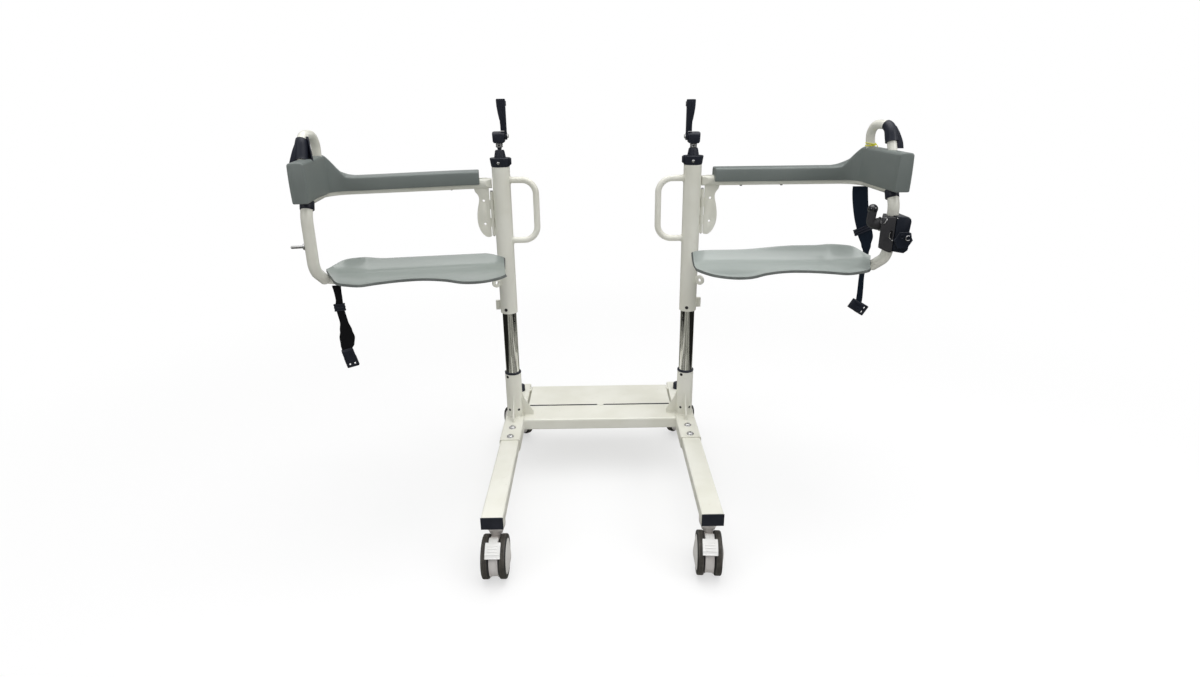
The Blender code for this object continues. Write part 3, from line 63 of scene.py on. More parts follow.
class Wire:
    """A socket of a node tree. Sums and products of wires add their Math nodes."""

    def __init__(self, tree, socket=None):
        self.tree = tree
        self.socket = socket

    def node(self, kind, settings=None, inputs=None, output=0):
        """Adds a node: its settings first, then the values or wires of its sockets."""
        node = self.tree.nodes.new("ShaderNode" + kind)
        for name, value in (settings or {}).items():
            setattr(node, name, value)
        for key, value in (inputs or {}).items():
            if isinstance(value, Wire):
                self.tree.links.new(value.socket, node.inputs[key])
            else:
                node.inputs[key].default_value = value
        return Wire(self.tree, node.outputs[output])

    def math(self, operation, *values):
        return self.node("Math", {"operation": operation}, dict(enumerate(values)))

    def __add__(self, other):
        return self.math("ADD", self, other)

    def __radd__(self, other):
        return self.math("ADD", other, self)

    def __sub__(self, other):
        return self.math("SUBTRACT", self, other)

    def __rsub__(self, other):
        return self.math("SUBTRACT", other, self)

    def __mul__(self, other):
        return self.math("MULTIPLY", self, other)

    def __rmul__(self, other):
        return self.math("MULTIPLY", other, self)

    def axis(self, letter):
        """One of the three numbers of a place or direction."""
        return self.node("SeparateXYZ", None, {"Vector": self}, output=letter)

    def step(self, start, end):
        """0 before start, 1 after end, smooth between."""
        inputs = {"Value": self, "From Min": start, "From Max": end}
        return self.node("MapRange", {"interpolation_type": "SMOOTHSTEP"}, inputs)

    def tint(self, first, second):
        """The first colour where the wire is 0, the second where it is 1."""
        first = first if isinstance(first, Wire) else (*first, 1)
        second = second if isinstance(second, Wire) else (*second, 1)
        return self.node("Mix", {"data_type": "RGBA"}, {0: self, 6: first, 7: second}, output=2)

    def noise(self, scale, detail=2.0, roughness=0.5):
        """Noise read at the place that the wire gives."""
        inputs = {"Vector": self, "Scale": scale, "Detail": detail, "Roughness": roughness}
        return self.node("TexNoise", None, inputs)

    def drawn(self, x, y, z):
        """The place, drawn out along an axis."""
        return self.node("Mapping", None, {"Vector": self, "Scale": (x, y, z)})

    def into(self, node, socket):
        self.tree.links.new(self.socket, node.inputs[socket])


world = bpy.data.worlds.new("studio")
world.use_nodes = True
bpy.context.scene.world = world
sky = Wire(world.node_tree)
looking = sky.node("TexCoord", output="Generated")
round_about = sky.math("ARCTAN2", looking.axis("X"), looking.axis("Y"))
curtain = sky.math("SINE", round_about * 7.0 + 0.9).step(0.15, 0.45)
narrow = sky.math("SINE", round_about * 17.0 + 2.2).step(0.55, 0.8)
panels = (1 - curtain * 0.90) * (1 - narrow * 0.60) * 0.62 + 0.02
ceiling = looking.axis("Z").step(0.55, 0.80)
brightness = panels * (1 - ceiling) + ceiling * 1.05
seen = sky.node("LightPath", output="Is Camera Ray")
backdrop = world.node_tree.nodes["Background"]
backdrop.inputs["Color"].default_value = (1.0, 1.0, 1.0, 1)
(brightness * (1 - seen) + seen * 1.0).into(backdrop, "Strength")

bpy.ops.object.select_all(action="DESELECT")
bpy.ops.mesh.primitive_circle_add(
    vertices=96, radius=FLOOR_RADIUS, fill_type="NGON", location=(0, 0, -FLOOR_BELOW),
)
floor = bpy.context.object
floor.name = "floor"
floor_paint = bpy.data.materials.new("floor_paint")
floor_paint.use_nodes = True
tree = floor_paint.node_tree
shade = tree.nodes["Principled BSDF"]
shade.inputs["Base Color"].default_value = (FLOOR_ALBEDO, FLOOR_ALBEDO, FLOOR_ALBEDO, 1)
shade.inputs["Roughness"].default_value = 0.65
place = Wire(tree).node("TexCoord", output="Object")
reach = place.node("VectorMath", {"operation": "LENGTH"}, {0: place}, output="Value")
seen = place.node("LightPath", output="Is Camera Ray")
white = place.node("Emission", None, {"Color": (1, 1, 1, 1), "Strength": seen * 0.66 + 0.34})
paint = Wire(tree, shade.outputs[0])
run_out = reach.step(0.7, 2.4) * 0.42 + 0.58
ground = paint.node("MixShader", None, {0: run_out, 1: paint, 2: white})
across = place.axis("X")
bearing = place.math("ARCTAN2", across, 0 - place.axis("Y"))
wide_streak = place.math("SINE", bearing * 9.0 + 0.4).step(0.10, 0.75)
thin_streak = place.math("SINE", bearing * 26.0 + 1.3).step(0.72, 0.96)
near_middle = 1 - place.math("ABSOLUTE", across).step(*STREAKED_HALF)
gleam = (wide_streak * 0.14 + thin_streak * 0.50 + 0.12) * near_middle + 0.012
mirrored = place.node("Emission", None, {"Color": (1.0, 1.0, 0.87, 1), "Strength": gleam})
glossy = place.node("LightPath", output="Is Glossy Ray")
ground = paint.node("MixShader", None, {0: glossy, 1: ground, 2: mirrored})
ground.into(tree.nodes["Material Output"], "Surface")
floor.data.materials.append(floor_paint)

for lamp_name, spot, aim, size, power in (
    ("overhead_panel", (0.2, 0.1, 3.2), (0.0, 0.1, 0.3), 2.6, 44.0),
    ("left_panel", (-2.4, -2.3, 2.0), (0.0, 0.0, 0.6), 1.4, 13.0),
    ("right_panel", (2.5, -1.6, 2.2), (0.0, 0.0, 0.6), 1.5, 20.0),
):
    bpy.ops.object.light_add(type="AREA", location=spot)
    lamp = bpy.context.object
    lamp.name = lamp_name
    lamp.data.size = size
    lamp.data.energy = power
    lamp.rotation_euler = (Vector(aim) - Vector(spot)).to_track_quat("-Z", "Y").to_euler()

bpy.ops.object.camera_add(location=MIDDLE + Vector((-0.0113, -1.7445, 1.0418)))
camera = bpy.context.object
camera.rotation_euler = (1.217176, 0.010601, -0.012213)
camera.data.sensor_width = SENSOR
camera.data.lens = LENS
bpy.context.scene.camera = camera
bpy.context.scene.view_settings.view_transform = "Standard"


# The base: a cross beam between two side rails, and two legs plugged into them. All is steel tube,
# welded, and powder coated a warm off-white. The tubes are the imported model's own, given the coat.
# Two domed bolts through each rail's top hold the leg, and weld beads hold the beam.

RAIL_BOLTS_BACK = (-0.0835, -0.1345)
BOLT_WASHER = [
    (0.0036, 0.0), (0.0098, 0.0), (0.0100, 0.0002), (0.0100, 0.0009), (0.0097, 0.0012),
    (0.0036, 0.0012),
]
BOLT_DOME = [
    (0.0080, 0.0010), (0.0082, 0.0016), (0.0078, 0.0028), (0.0066, 0.0042), (0.0048, 0.0050),
    (0.0031, 0.0052), (0.0028, 0.0050), (0.0027, 0.0026),
]
BOLT_PIT = [(0.0030, 0.0027), (0.0026, 0.0028), (0.0012, 0.0028)]
MERGE = 0.000001


def new_finish(name, roughness, metallic=0.0, specular=None, coat=None):
    """A new material, its shader node and the place on the piece. A coat is given as its weight
    and roughness."""
    finish = bpy.data.materials.new(name)
    finish.use_nodes = True
    shader = finish.node_tree.nodes["Principled BSDF"]
    shader.inputs["Roughness"].default_value = roughness
    shader.inputs["Metallic"].default_value = metallic
    if specular is not None:
        shader.inputs["Specular IOR Level"].default_value = specular
    if coat:
        shader.inputs["Coat Weight"].default_value = coat[0]
        shader.inputs["Coat Roughness"].default_value = coat[1]
    return finish, shader, Wire(finish.node_tree).node("TexCoord", output="Object")


def raised(height, strength, shader, distance=0.0003):
    """Feeds a height into the shader's normal."""
    bump = height.node("Bump", None, {"Height": height, "Strength": strength, "Distance": distance})
    bump.into(shader, "Normal")


powder_coat, shader, place = new_finish("powder_coat", 0.32, coat=(0.30, 0.10))
mottle = place.noise(9.0, 3.0).step(0.35, 0.65)
grime = place.noise(38.0, 6.0, 0.65).step(0.62, 0.80)
streak = place.drawn(60.0, 60.0, 7.0).noise(1.0, 3.0).step(0.66, 0.82)
clean = mottle.tint((0.765, 0.758, 0.668), (0.820, 0.815, 0.735))
soiled = (grime * 0.30).tint(clean, (0.52, 0.48, 0.38))
(streak * 0.16).tint(soiled, (0.58, 0.55, 0.47)).into(shader, "Base Color")
(place.noise(55.0, 4.0) * 0.20 + 0.22 + grime * 0.10).into(shader, "Roughness")
raised(place.noise(750.0, 2.0), 0.10, shader, 0.0004)


def recoat(node_name, finish):
    """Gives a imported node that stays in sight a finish."""
    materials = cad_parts[node_name].data.materials
    materials.clear()
    materials.append(finish)


for node_name in ("cross_beam", "foot_plate"):
    recoat(node_name, powder_coat)
for side_name in SIDES:
    recoat(side_name + "_side_rail", powder_coat)
    recoat(side_name + "_leg", powder_coat)


def pick(*pieces):
    """Selects only these pieces, the first one active."""
    bpy.ops.object.select_all(action="DESELECT")
    for piece in pieces:
        piece.select_set(True)
    bpy.context.view_layer.objects.active = pieces[0]


def turned(stations, sides=48, hollow=False):
    """A round piece about Z: a circle extruded and resized through its (radius, height) stations.
    A hollow one comes back to its first station."""
    radius, height = stations[0]
    bpy.ops.object.select_all(action="DESELECT")
    bpy.ops.mesh.primitive_circle_add(vertices=sides, radius=radius, location=(0, 0, height))
    bpy.ops.object.mode_set(mode="EDIT")
    for wider, higher in stations[1:]:
        share = wider / radius
        bpy.ops.mesh.extrude_edges_move(TRANSFORM_OT_translate={"value": (0, 0, higher - height)})
        bpy.ops.transform.resize(value=(share, share, 1), center_override=(0, 0, higher))
        radius, height = wider, higher
    bpy.ops.mesh.select_all(action="SELECT")
    bpy.ops.mesh.remove_doubles(threshold=MERGE)
    if not hollow:
        bpy.ops.mesh.fill_holes(sides=0)
    bpy.ops.mesh.normals_make_consistent(inside=False)
    bpy.ops.object.mode_set(mode="OBJECT")
    bpy.ops.object.transform_apply(location=True, rotation=True, scale=True)
    return bpy.context.object


def block(corner, opposite, edge=0.001, segments=3):
    """A box between two opposite corners with its edges bevelled."""
    corner = Vector(corner)
    opposite = Vector(opposite)
    bpy.ops.object.select_all(action="DESELECT")
    bpy.ops.mesh.primitive_cube_add(size=1, location=(corner + opposite) / 2)
    piece = bpy.context.object
    piece.scale = [abs(length) for length in opposite - corner]
    bpy.ops.object.transform_apply(location=True, rotation=True, scale=True)
    bpy.ops.object.mode_set(mode="EDIT")
    bpy.ops.mesh.select_all(action="SELECT")
    bpy.ops.mesh.bevel(offset=edge, segments=segments, affect="EDGES")
    bpy.ops.object.mode_set(mode="OBJECT")
    return piece


def put(piece, spot):
    """Moves a piece by a matrix, or to a point, and applies it."""
    if not isinstance(spot, Matrix):
        spot = Matrix.Translation(spot)
    pick(piece)
    piece.matrix_world = spot @ piece.matrix_world
    bpy.ops.object.transform_apply(location=True, rotation=True, scale=True)
    return piece


def lay(piece, start, ahead):
    """Turns a piece made about +Z to run from a point in a direction."""
    turn = Vector((0, 0, 1)).rotation_difference(Vector(ahead)).to_matrix().to_4x4()
    return put(piece, Matrix.Translation(start) @ turn)


def joined(*pieces):
    pick(*pieces)
    bpy.ops.object.join()
    return pieces[0]


def facing_out(piece):
    """Merges doubled points and turns the faces outwards."""
    pick(piece)
    bpy.ops.object.mode_set(mode="EDIT")
    bpy.ops.mesh.select_all(action="SELECT")
    bpy.ops.mesh.remove_doubles(threshold=MERGE)
    bpy.ops.mesh.normals_make_consistent(inside=False)
    bpy.ops.object.mode_set(mode="OBJECT")


def fit(piece, name, finish, body, replaced=(), angle=32):
    """Names a finished piece, shades it, gives it its finish and hands it to its body."""
    facing_out(piece)
    bpy.ops.object.shade_smooth_by_angle(angle=math.radians(angle))
    piece.name = name
    piece.data.name = name
    if finish:
        piece.data.materials.clear()
        piece.data.materials.append(finish)
    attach(piece, body)
    if replaced:
        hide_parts(*replaced)
    return piece


chrome, shader, place = new_finish("chrome_plate", 0.07, 1.0)
rubbed = place.drawn(900.0, 900.0, 18.0).noise(1.0, 4.0, 0.6)
haze = place.noise(14.0, 3.0).step(0.45, 0.75)
haze.tint((0.80, 0.80, 0.79), (0.70, 0.70, 0.68)).into(shader, "Base Color")
(rubbed * 0.07 + 0.03 + haze * 0.05).into(shader, "Roughness")
raised(rubbed, 0.03, shader, 0.0002)

zinc, shader, place = new_finish("zinc_steel", 0.30, 1.0)
brushed = place.drawn(300.0, 300.0, 40.0).noise(1.0, 4.0, 0.6)
dulled = place.noise(60.0, 5.0, 0.6).step(0.5, 0.75)
dulled.tint((0.60, 0.60, 0.60), (0.42, 0.41, 0.38)).into(shader, "Base Color")
(brushed * 0.18 + 0.18 + dulled * 0.14).into(shader, "Roughness")
raised(brushed, 0.06, shader)

# Near-black: painted shade for the insides of holes, wells and sockets, and also the faces of the
# sunk screws.
hole_shade_and_dark_screws, shader, place = new_finish("hole_shade_and_dark_screws", 0.6)
pitted = place.noise(300.0, 3.0)
pitted.tint((0.010, 0.010, 0.011), (0.030, 0.028, 0.026)).into(shader, "Base Color")
raised(place.noise(600.0), 0.1, shader)

beam_low, beam_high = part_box("cross_beam")
RAIL_TOP = beam_high.z
for side_name in SIDES:
    for number, back in enumerate(RAIL_BOLTS_BACK):
        spot = COLUMN[side_name] + Vector((0, back, RAIL_TOP))
        bolt = put(joined(turned(BOLT_DOME, 40), turned(BOLT_WASHER, 40, True)), spot)
        fit(bolt, f"{side_name}_rail_bolt_{number}", zinc, "base")
        # The dark disc in the bolt's socket is painted shade.
        pit = put(turned(BOLT_PIT, 24), spot)
        fit(pit, f"{side_name}_rail_bolt_pit_{number}", hole_shade_and_dark_screws, "base")


def shown(data):
    """An object of its own for a curve or mesh, selected."""
    piece = bpy.data.objects.new("piece", data)
    bpy.context.scene.collection.objects.link(piece)
    pick(piece)
    return piece


def curve_through(loops, dimensions, closed, shares=None):
    """A curve of straight runs through the points of each loop."""
    line = bpy.data.curves.new("line", "CURVE")
    line.dimensions = dimensions
    for loop in loops:
        run = line.splines.new("POLY")
        run.points.add(len(loop) - 1)
        run.use_cyclic_u = closed
        for index, point in enumerate(loop):
            run.points[index].co = (*point, 0)[:3] + (1,)
            run.points[index].radius = shares[index] if shares else 1.0
    return line


def bent(points, radius, rounds=6, shares=None, closed=False):
    """A round bar along a path, by a bevelled curve made a mesh."""
    line = curve_through([points], "3D", closed, shares)
    line.bevel_depth = radius
    line.bevel_resolution = rounds
    line.use_fill_caps = not closed
    shown(line)
    bpy.ops.object.convert(target="MESH")
    return bpy.context.object


def bead(points, radius=0.0016, closed=False):
    """A weld bead with the small lumps of its passes."""
    lumps = [1 + 0.16 * math.sin(2.1 * k) + 0.07 * math.sin(5.3 * k) for k in range(len(points))]
    return bent(points, radius, 3, lumps, closed)


def between(start, end, steps=12):
    return [Vector(start).lerp(Vector(end), index / steps) for index in range(steps + 1)]


SEAM_INSET = 0.004
for side_name, side in SIDES.items():
    face = beam_high.x if side > 0 else beam_low.x
    near_y, far_y = beam_low.y, beam_high.y
    foot_z, head_z = beam_low.z + SEAM_INSET, RAIL_TOP - SEAM_INSET
    over_top = between(
        (face, near_y + SEAM_INSET, RAIL_TOP), (face, far_y - SEAM_INSET, RAIL_TOP), 30,
    )
    seam = joined(
        bead(between((face, near_y, foot_z), (face, near_y, head_z)), 0.0013),
        bead(over_top, 0.0011),
        bead(between((face, far_y, foot_z), (face, far_y, head_z)), 0.0013),
    )
    fit(seam, side_name + "_beam_weld", powder_coat, "base", angle=60)


# The foot plate is folded sheet, hinged at its far edge between the rails' ends. A small steel rest
# is welded on the beam where the plate's near edge lies down.

PLATE_PIVOT = Vector((0.0048, 0.186, 0.158))
PIN_HEAD = [(0.0064, 0.0), (0.0068, 0.0006), (0.0066, 0.0018), (0.0050, 0.0030), (0.0022, 0.0034)]
rest_foot = Vector((MIDDLE.x + 0.002, beam_high.y - 0.005, RAIL_TOP))
rest_half = Vector((0.007, 0.004, 0.0004))
rest = block(rest_foot - rest_half, rest_foot + Vector((rest_half.x, rest_half.y, 0.0022)), 0.0008)
fit(rest, "plate_rest", powder_coat, "base")
plate_low, plate_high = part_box("foot_plate")
for side_name, side in SIDES.items():
    rim = plate_high.x if side > 0 else plate_low.x
    pin_spot = Vector((rim + side * PLATE_PIVOT.x, MIDDLE.y + PLATE_PIVOT.y, PLATE_PIVOT.z))
    head = lay(turned(PIN_HEAD, 32), pin_spot, (side, 0, 0))
    fit(head, side_name + "_plate_pin_head", zinc, "base")


# The legs' open ends are closed by moulded black nylon caps, pushed in, their faces slightly
# dished. Black rubber caps cover the far casters' stems on top of the rails. Thin black strips in
# the gap between the beam and the foot plate are painted shade, standing for the shadow in that gap.

SHADE_STRIP_RADIUS = 0.0015
STEM_AHEAD = 0.166
STEM_CAP = [
    (0.0125, 0.0), (0.0128, 0.0010), (0.0124, 0.0022), (0.0120, 0.0150), (0.0110, 0.0182),
    (0.0085, 0.0200), (0.0045, 0.0207), (0.0015, 0.0208),
]
black_nylon, shader, place = new_finish("black_nylon", 0.45, specular=0.32)
cloudy = place.noise(30.0, 4.0).step(0.3, 0.7)
scuff = place.drawn(220.0, 220.0, 60.0).noise(1.0, 5.0, 0.6).step(0.66, 0.84)
tone = cloudy.tint((0.0105, 0.0130, 0.0225), (0.0165, 0.0195, 0.0310))
(scuff * 0.30).tint(tone, (0.052, 0.055, 0.066)).into(shader, "Base Color")
(place.noise(160.0, 3.0) * 0.18 + 0.30 + scuff * 0.12).into(shader, "Roughness")
raised(place.noise(1400.0, 2.0), 0.16, shader)

gap_y = (beam_high.y + plate_low.y) / 2
gap_z = RAIL_TOP - 0.0004
# Painted shade: a thin black strip on each side stands for the shadow in the gap between beam and
# plate.
for side_name, start_x, end_x in (
    ("left", plate_low.x + 0.004, rest_foot.x - 0.010),
    ("right", rest_foot.x + 0.010, plate_high.x - 0.004),
):
    strip = bent(between((start_x, gap_y, gap_z), (end_x, gap_y, gap_z), 24), SHADE_STRIP_RADIUS, 4)
    fit(strip, side_name + "_plate_gap_shade_strip", black_nylon, "base")


def pressed_in(piece, direction, rims, depth, rim_after=0.0):
    """Insets the faces that look one way, pushes them in, and may inset them once more."""
    direction = Vector(direction)
    pick(piece)
    bpy.ops.object.mode_set(mode="EDIT")
    bpy.ops.mesh.select_mode(type="FACE")
    bpy.ops.mesh.select_all(action="DESELECT")
    bpy.ops.object.mode_set(mode="OBJECT")
    for face in piece.data.polygons:
        face.select = face.normal.dot(direction) > 0.995
    bpy.ops.object.mode_set(mode="EDIT")
    for rim in rims:
        bpy.ops.mesh.inset(thickness=rim)
    bpy.ops.transform.translate(value=-direction * depth)
    if rim_after:
        bpy.ops.mesh.inset(thickness=rim_after)
    bpy.ops.mesh.select_mode(type="VERT")
    bpy.ops.object.mode_set(mode="OBJECT")


for side_name in SIDES:
    low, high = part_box(side_name + "_leg_cap")
    leg_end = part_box(side_name + "_leg")[0].y
    cap = block(low, (high.x, leg_end - 0.0002, high.z), 0.0009)
    pressed_in(cap, (0, -1, 0), [0.0022], 0.0004, 0.0012)
    plug_in = Vector((0.0025, 0, 0.0025))
    plug = block(
        Vector((low.x, leg_end - 0.0006, low.z)) + plug_in, high - plug_in, 0.0015,
    )
    fit(
        joined(cap, plug), side_name + "_leg_end_cap", black_nylon, "base",
        [side_name + "_leg_cap"],
    )
    stem_cap = turned(STEM_CAP, 40)
    put(stem_cap, COLUMN[side_name] + Vector((0, STEM_AHEAD, RAIL_TOP + 0.0002)))
    fit(stem_cap, side_name + "_stem_cap", black_nylon, "base")


# The columns stand on the rails: a socket tube with two gussets, welded and coated, a polished
# chromed tube clamped in it by grub screws, and a black nylon ring round the chrome at its mouth.

# Flat outlines are (out, up). ACROSS stands one up facing the rear, SIDEWAYS facing the side.
ACROSS = Matrix.Rotation(math.radians(90), 4, "X")
SIDEWAYS = Matrix(((0, 0, 1, 0), (1, 0, 0, 0), (0, 1, 0, 0), (0, 0, 0, 1)))
UP = Vector((0, 0, 1))
SOCKET_RADIUS = 0.0225
SOCKET_BORE = 0.0193
GUSSET_THICK = 0.004
GUSSET_TOP = 0.235
GUSSET_REACH = 0.0525
BESIDE_GUSSET = 0.0026
GUSSET_GRUB = 0.1905


def face_plate(loops, thickness, spot, edge=0.0004):
    """A flat outline with its holes, extruded from a 2D curve with a small bevel, made a mesh."""
    line = curve_through(loops, "2D", True)
    line.fill_mode = "BOTH"
    line.offset = -edge
    line.extrude = thickness / 2 - edge
    line.bevel_depth = edge
    line.bevel_resolution = 1
    shown(line)
    bpy.ops.object.convert(target="MESH")
    return put(bpy.context.object, spot)


def heading(degrees):
    """A level direction, turned about the upright from +X."""
    return Vector((math.cos(math.radians(degrees)), math.sin(math.radians(degrees)), 0))


def curve_corner(centre, radius, start, end, steps=6):
    """Points of a flat arc, angles in degrees."""
    points = []
    for index in range(steps + 1):
        out = heading(start + (end - start) * index / steps)
        points.append((centre[0] + radius * out.x, centre[1] + radius * out.y))
    return points


def grub_screw(spot, outward, radius):
    """A grub screw sunk flush in its threaded hole."""
    stations = [
        (radius, -0.0012), (radius, 0.0003), (radius * 0.86, 0.0008), (radius * 0.74, 0.0006),
        (radius * 0.40, 0.0004),
    ]
    return lay(turned(stations, 24), spot, outward)


for side_name, side in SIDES.items():
    foot = COLUMN[side_name]
    low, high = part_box(side_name + "_column_socket")
    mouth = high.z
    socket = turned([
        (SOCKET_RADIUS, low.z), (SOCKET_RADIUS, mouth - 0.0012), (0.0221, mouth - 0.0003),
        (0.0216, mouth), (0.0196, mouth), (SOCKET_BORE, mouth - 0.0004), (SOCKET_BORE, low.z),
        (SOCKET_RADIUS, low.z),
    ], 72, True)
    gusset = [(0.0212, low.z), (GUSSET_REACH, low.z)]
    gusset += curve_corner((GUSSET_REACH - 0.003, low.z + 0.010), 0.003, 0, 50, 3)
    gusset += [(0.0300, 0.214), (0.0252, 0.2275), (0.0226, GUSSET_TOP), (0.0212, GUSSET_TOP)]
    at_foot = Matrix.Translation(foot)
    near_line = [(-out, up) for out, up in gusset]
    inner_line = [(-side * out, up) for out, up in gusset]
    parts = [
        put(socket, foot),
        face_plate([near_line], GUSSET_THICK, at_foot @ SIDEWAYS),
        face_plate([inner_line], GUSSET_THICK, at_foot @ ACROSS),
    ]
    ring = [foot + heading(6 * index) * 0.0234 + UP * (low.z + 0.0006) for index in range(60)]
    parts.append(bead(ring, 0.0017, True))
    near_way = (Vector((0, -1, 0)), Vector((1, 0, 0)))
    inner_way = (Vector((-side, 0, 0)), Vector((0, 1, 0)))
    for shift in (-BESIDE_GUSSET, BESIDE_GUSSET):
        for out, beside in (near_way, inner_way):
            upright = foot + out * 0.0228 + beside * shift + UP * (low.z + 0.003)
            upright_end = foot + out * 0.0228 + beside * shift * 0.6 + UP * (GUSSET_TOP - 0.002)
            parts.append(bead(between(upright, upright_end, 26), 0.0011))
            level = foot + beside * shift + UP * (low.z + 0.0006)
            level_end = level + out * (GUSSET_REACH - 0.001)
            parts.append(bead(between(level + out * 0.0240, level_end, 14), 0.0012))
    fit(
        joined(*parts), side_name + "_socket", powder_coat, "base",
        [side_name + "_column_socket"],
    )
    for number, (turn, height, radius) in enumerate((
        (-127, mouth - 0.0065, 0.0042), (-55, GUSSET_GRUB, 0.0036), (-125, GUSSET_GRUB, 0.0036),
    )):
        outward = heading(turn)
        screw = grub_screw(foot + outward * 0.0224 + UP * height, outward, radius)
        fit(screw, f"{side_name}_socket_grub_{number}", hole_shade_and_dark_screws, "base")

    low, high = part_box(side_name + "_inner_tube")
    chromed = turned([
        (0.0190, low.z), (0.0190, high.z - 0.0006), (0.0186, high.z), (0.0174, high.z),
        (0.0170, high.z - 0.0006), (0.0170, low.z), (0.0190, low.z),
    ], 96, True)
    fit(
        put(chromed, foot), side_name + "_chromed_tube", chrome, "base",
        [side_name + "_inner_tube"],
    )

    low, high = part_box(side_name + "_guide_ring")
    ring = turned([
        (0.0226, low.z), (0.0229, low.z + 0.0006), (0.0229, high.z - 0.0014),
        (0.0222, high.z - 0.0003), (0.0212, high.z), (0.0200, high.z), (0.0193, high.z - 0.0008),
        (0.0193, low.z), (0.0226, low.z),
    ], 72, True)
    fit(
        put(ring, foot), side_name + "_mouth_ring", black_nylon, "base",
        [side_name + "_guide_ring"],
    )
    recoat(side_name + "_lead_nut", zinc)


# The lifting sleeve slides on the chrome. Welded on it are a D-shaped side handle of round bar, the
# hinge knuckles and lower pivot lug for the wing, a round eye lug and a small stop tab.

SLEEVE_RADIUS = 0.0228
SLEEVE_FACE = 0.0212
HANDLE_OUT = 0.087
HANDLE_TOP = 0.8345
HANDLE_BOTTOM = 0.679
HANDLE_BEND = 0.036
HANDLE_BAR = 0.008
HANDLE_WELD = 0.0089
HINGE_OUT = 0.0275
KNUCKLE_RADIUS = 0.0045
KNUCKLE_BORE = 0.0024
FIXED_KNUCKLES = ((0.692, 0.714), (0.738, 0.760), (0.784, 0.806))
CHAMFER = 0.0004
PIVOT_LUG_BOTTOM = 0.597
PIVOT_LUG_TOP = 0.609
EYE_OUT = 0.0343
EYE_Z = 0.569
EYE_TURN = 40
TAB_BOTTOM = 0.488
TAB_TOP = 0.514


def rounded_path(corners, bends, steps=10):
    """The path through corner points, each inner corner rounded to its bend radius."""
    corners = [Vector(corner) for corner in corners]
    path = [corners[0]]
    for index, bend in enumerate(bends, start=1):
        corner = corners[index]
        back = (corners[index - 1] - corner).normalized()
        ahead = (corners[index + 1] - corner).normalized()
        half = back.angle(ahead) / 2
        centre = corner + (back + ahead).normalized() * (bend / math.sin(half))
        first = corner + back * (bend / math.tan(half)) - centre
        last = corner + ahead * (bend / math.tan(half)) - centre
        for step in range(steps + 1):
            path.append(centre + first.slerp(last, step / steps).normalized() * bend)
    path.append(corners[-1])
    return path


def bar(start, end, radius, end_radius=None, sides=32, edge=CHAMFER):
    """A round bar between two points, its ends chamfered."""
    start = Vector(start)
    end = Vector(end)
    length = (end - start).length
    end_radius = end_radius or radius
    stations = [(radius - edge, 0), (radius, edge)]
    stations += [(end_radius, length - edge), (end_radius - edge, length)]
    return lay(turned(stations, sides), start, end - start)


def knuckle(bottom, top, bore=KNUCKLE_BORE):
    """A hinge knuckle: a short tube with its outer edges chamfered."""
    return turned([
        (KNUCKLE_RADIUS, bottom + CHAMFER), (KNUCKLE_RADIUS, top - CHAMFER),
        (KNUCKLE_RADIUS - CHAMFER, top), (bore, top), (bore, bottom),
        (KNUCKLE_RADIUS - CHAMFER, bottom), (KNUCKLE_RADIUS, bottom + CHAMFER),
    ], 36, True)


def web(foot, side, bottom, top):
    """The short flat web that carries a knuckle on the sleeve."""
    return block(
        (foot.x + side * SLEEVE_FACE, foot.y - 0.0028, bottom + CHAMFER),
        (foot.x + side * (HINGE_OUT - 0.0026), foot.y + 0.0028, top - CHAMFER), CHAMFER, 2,
    )


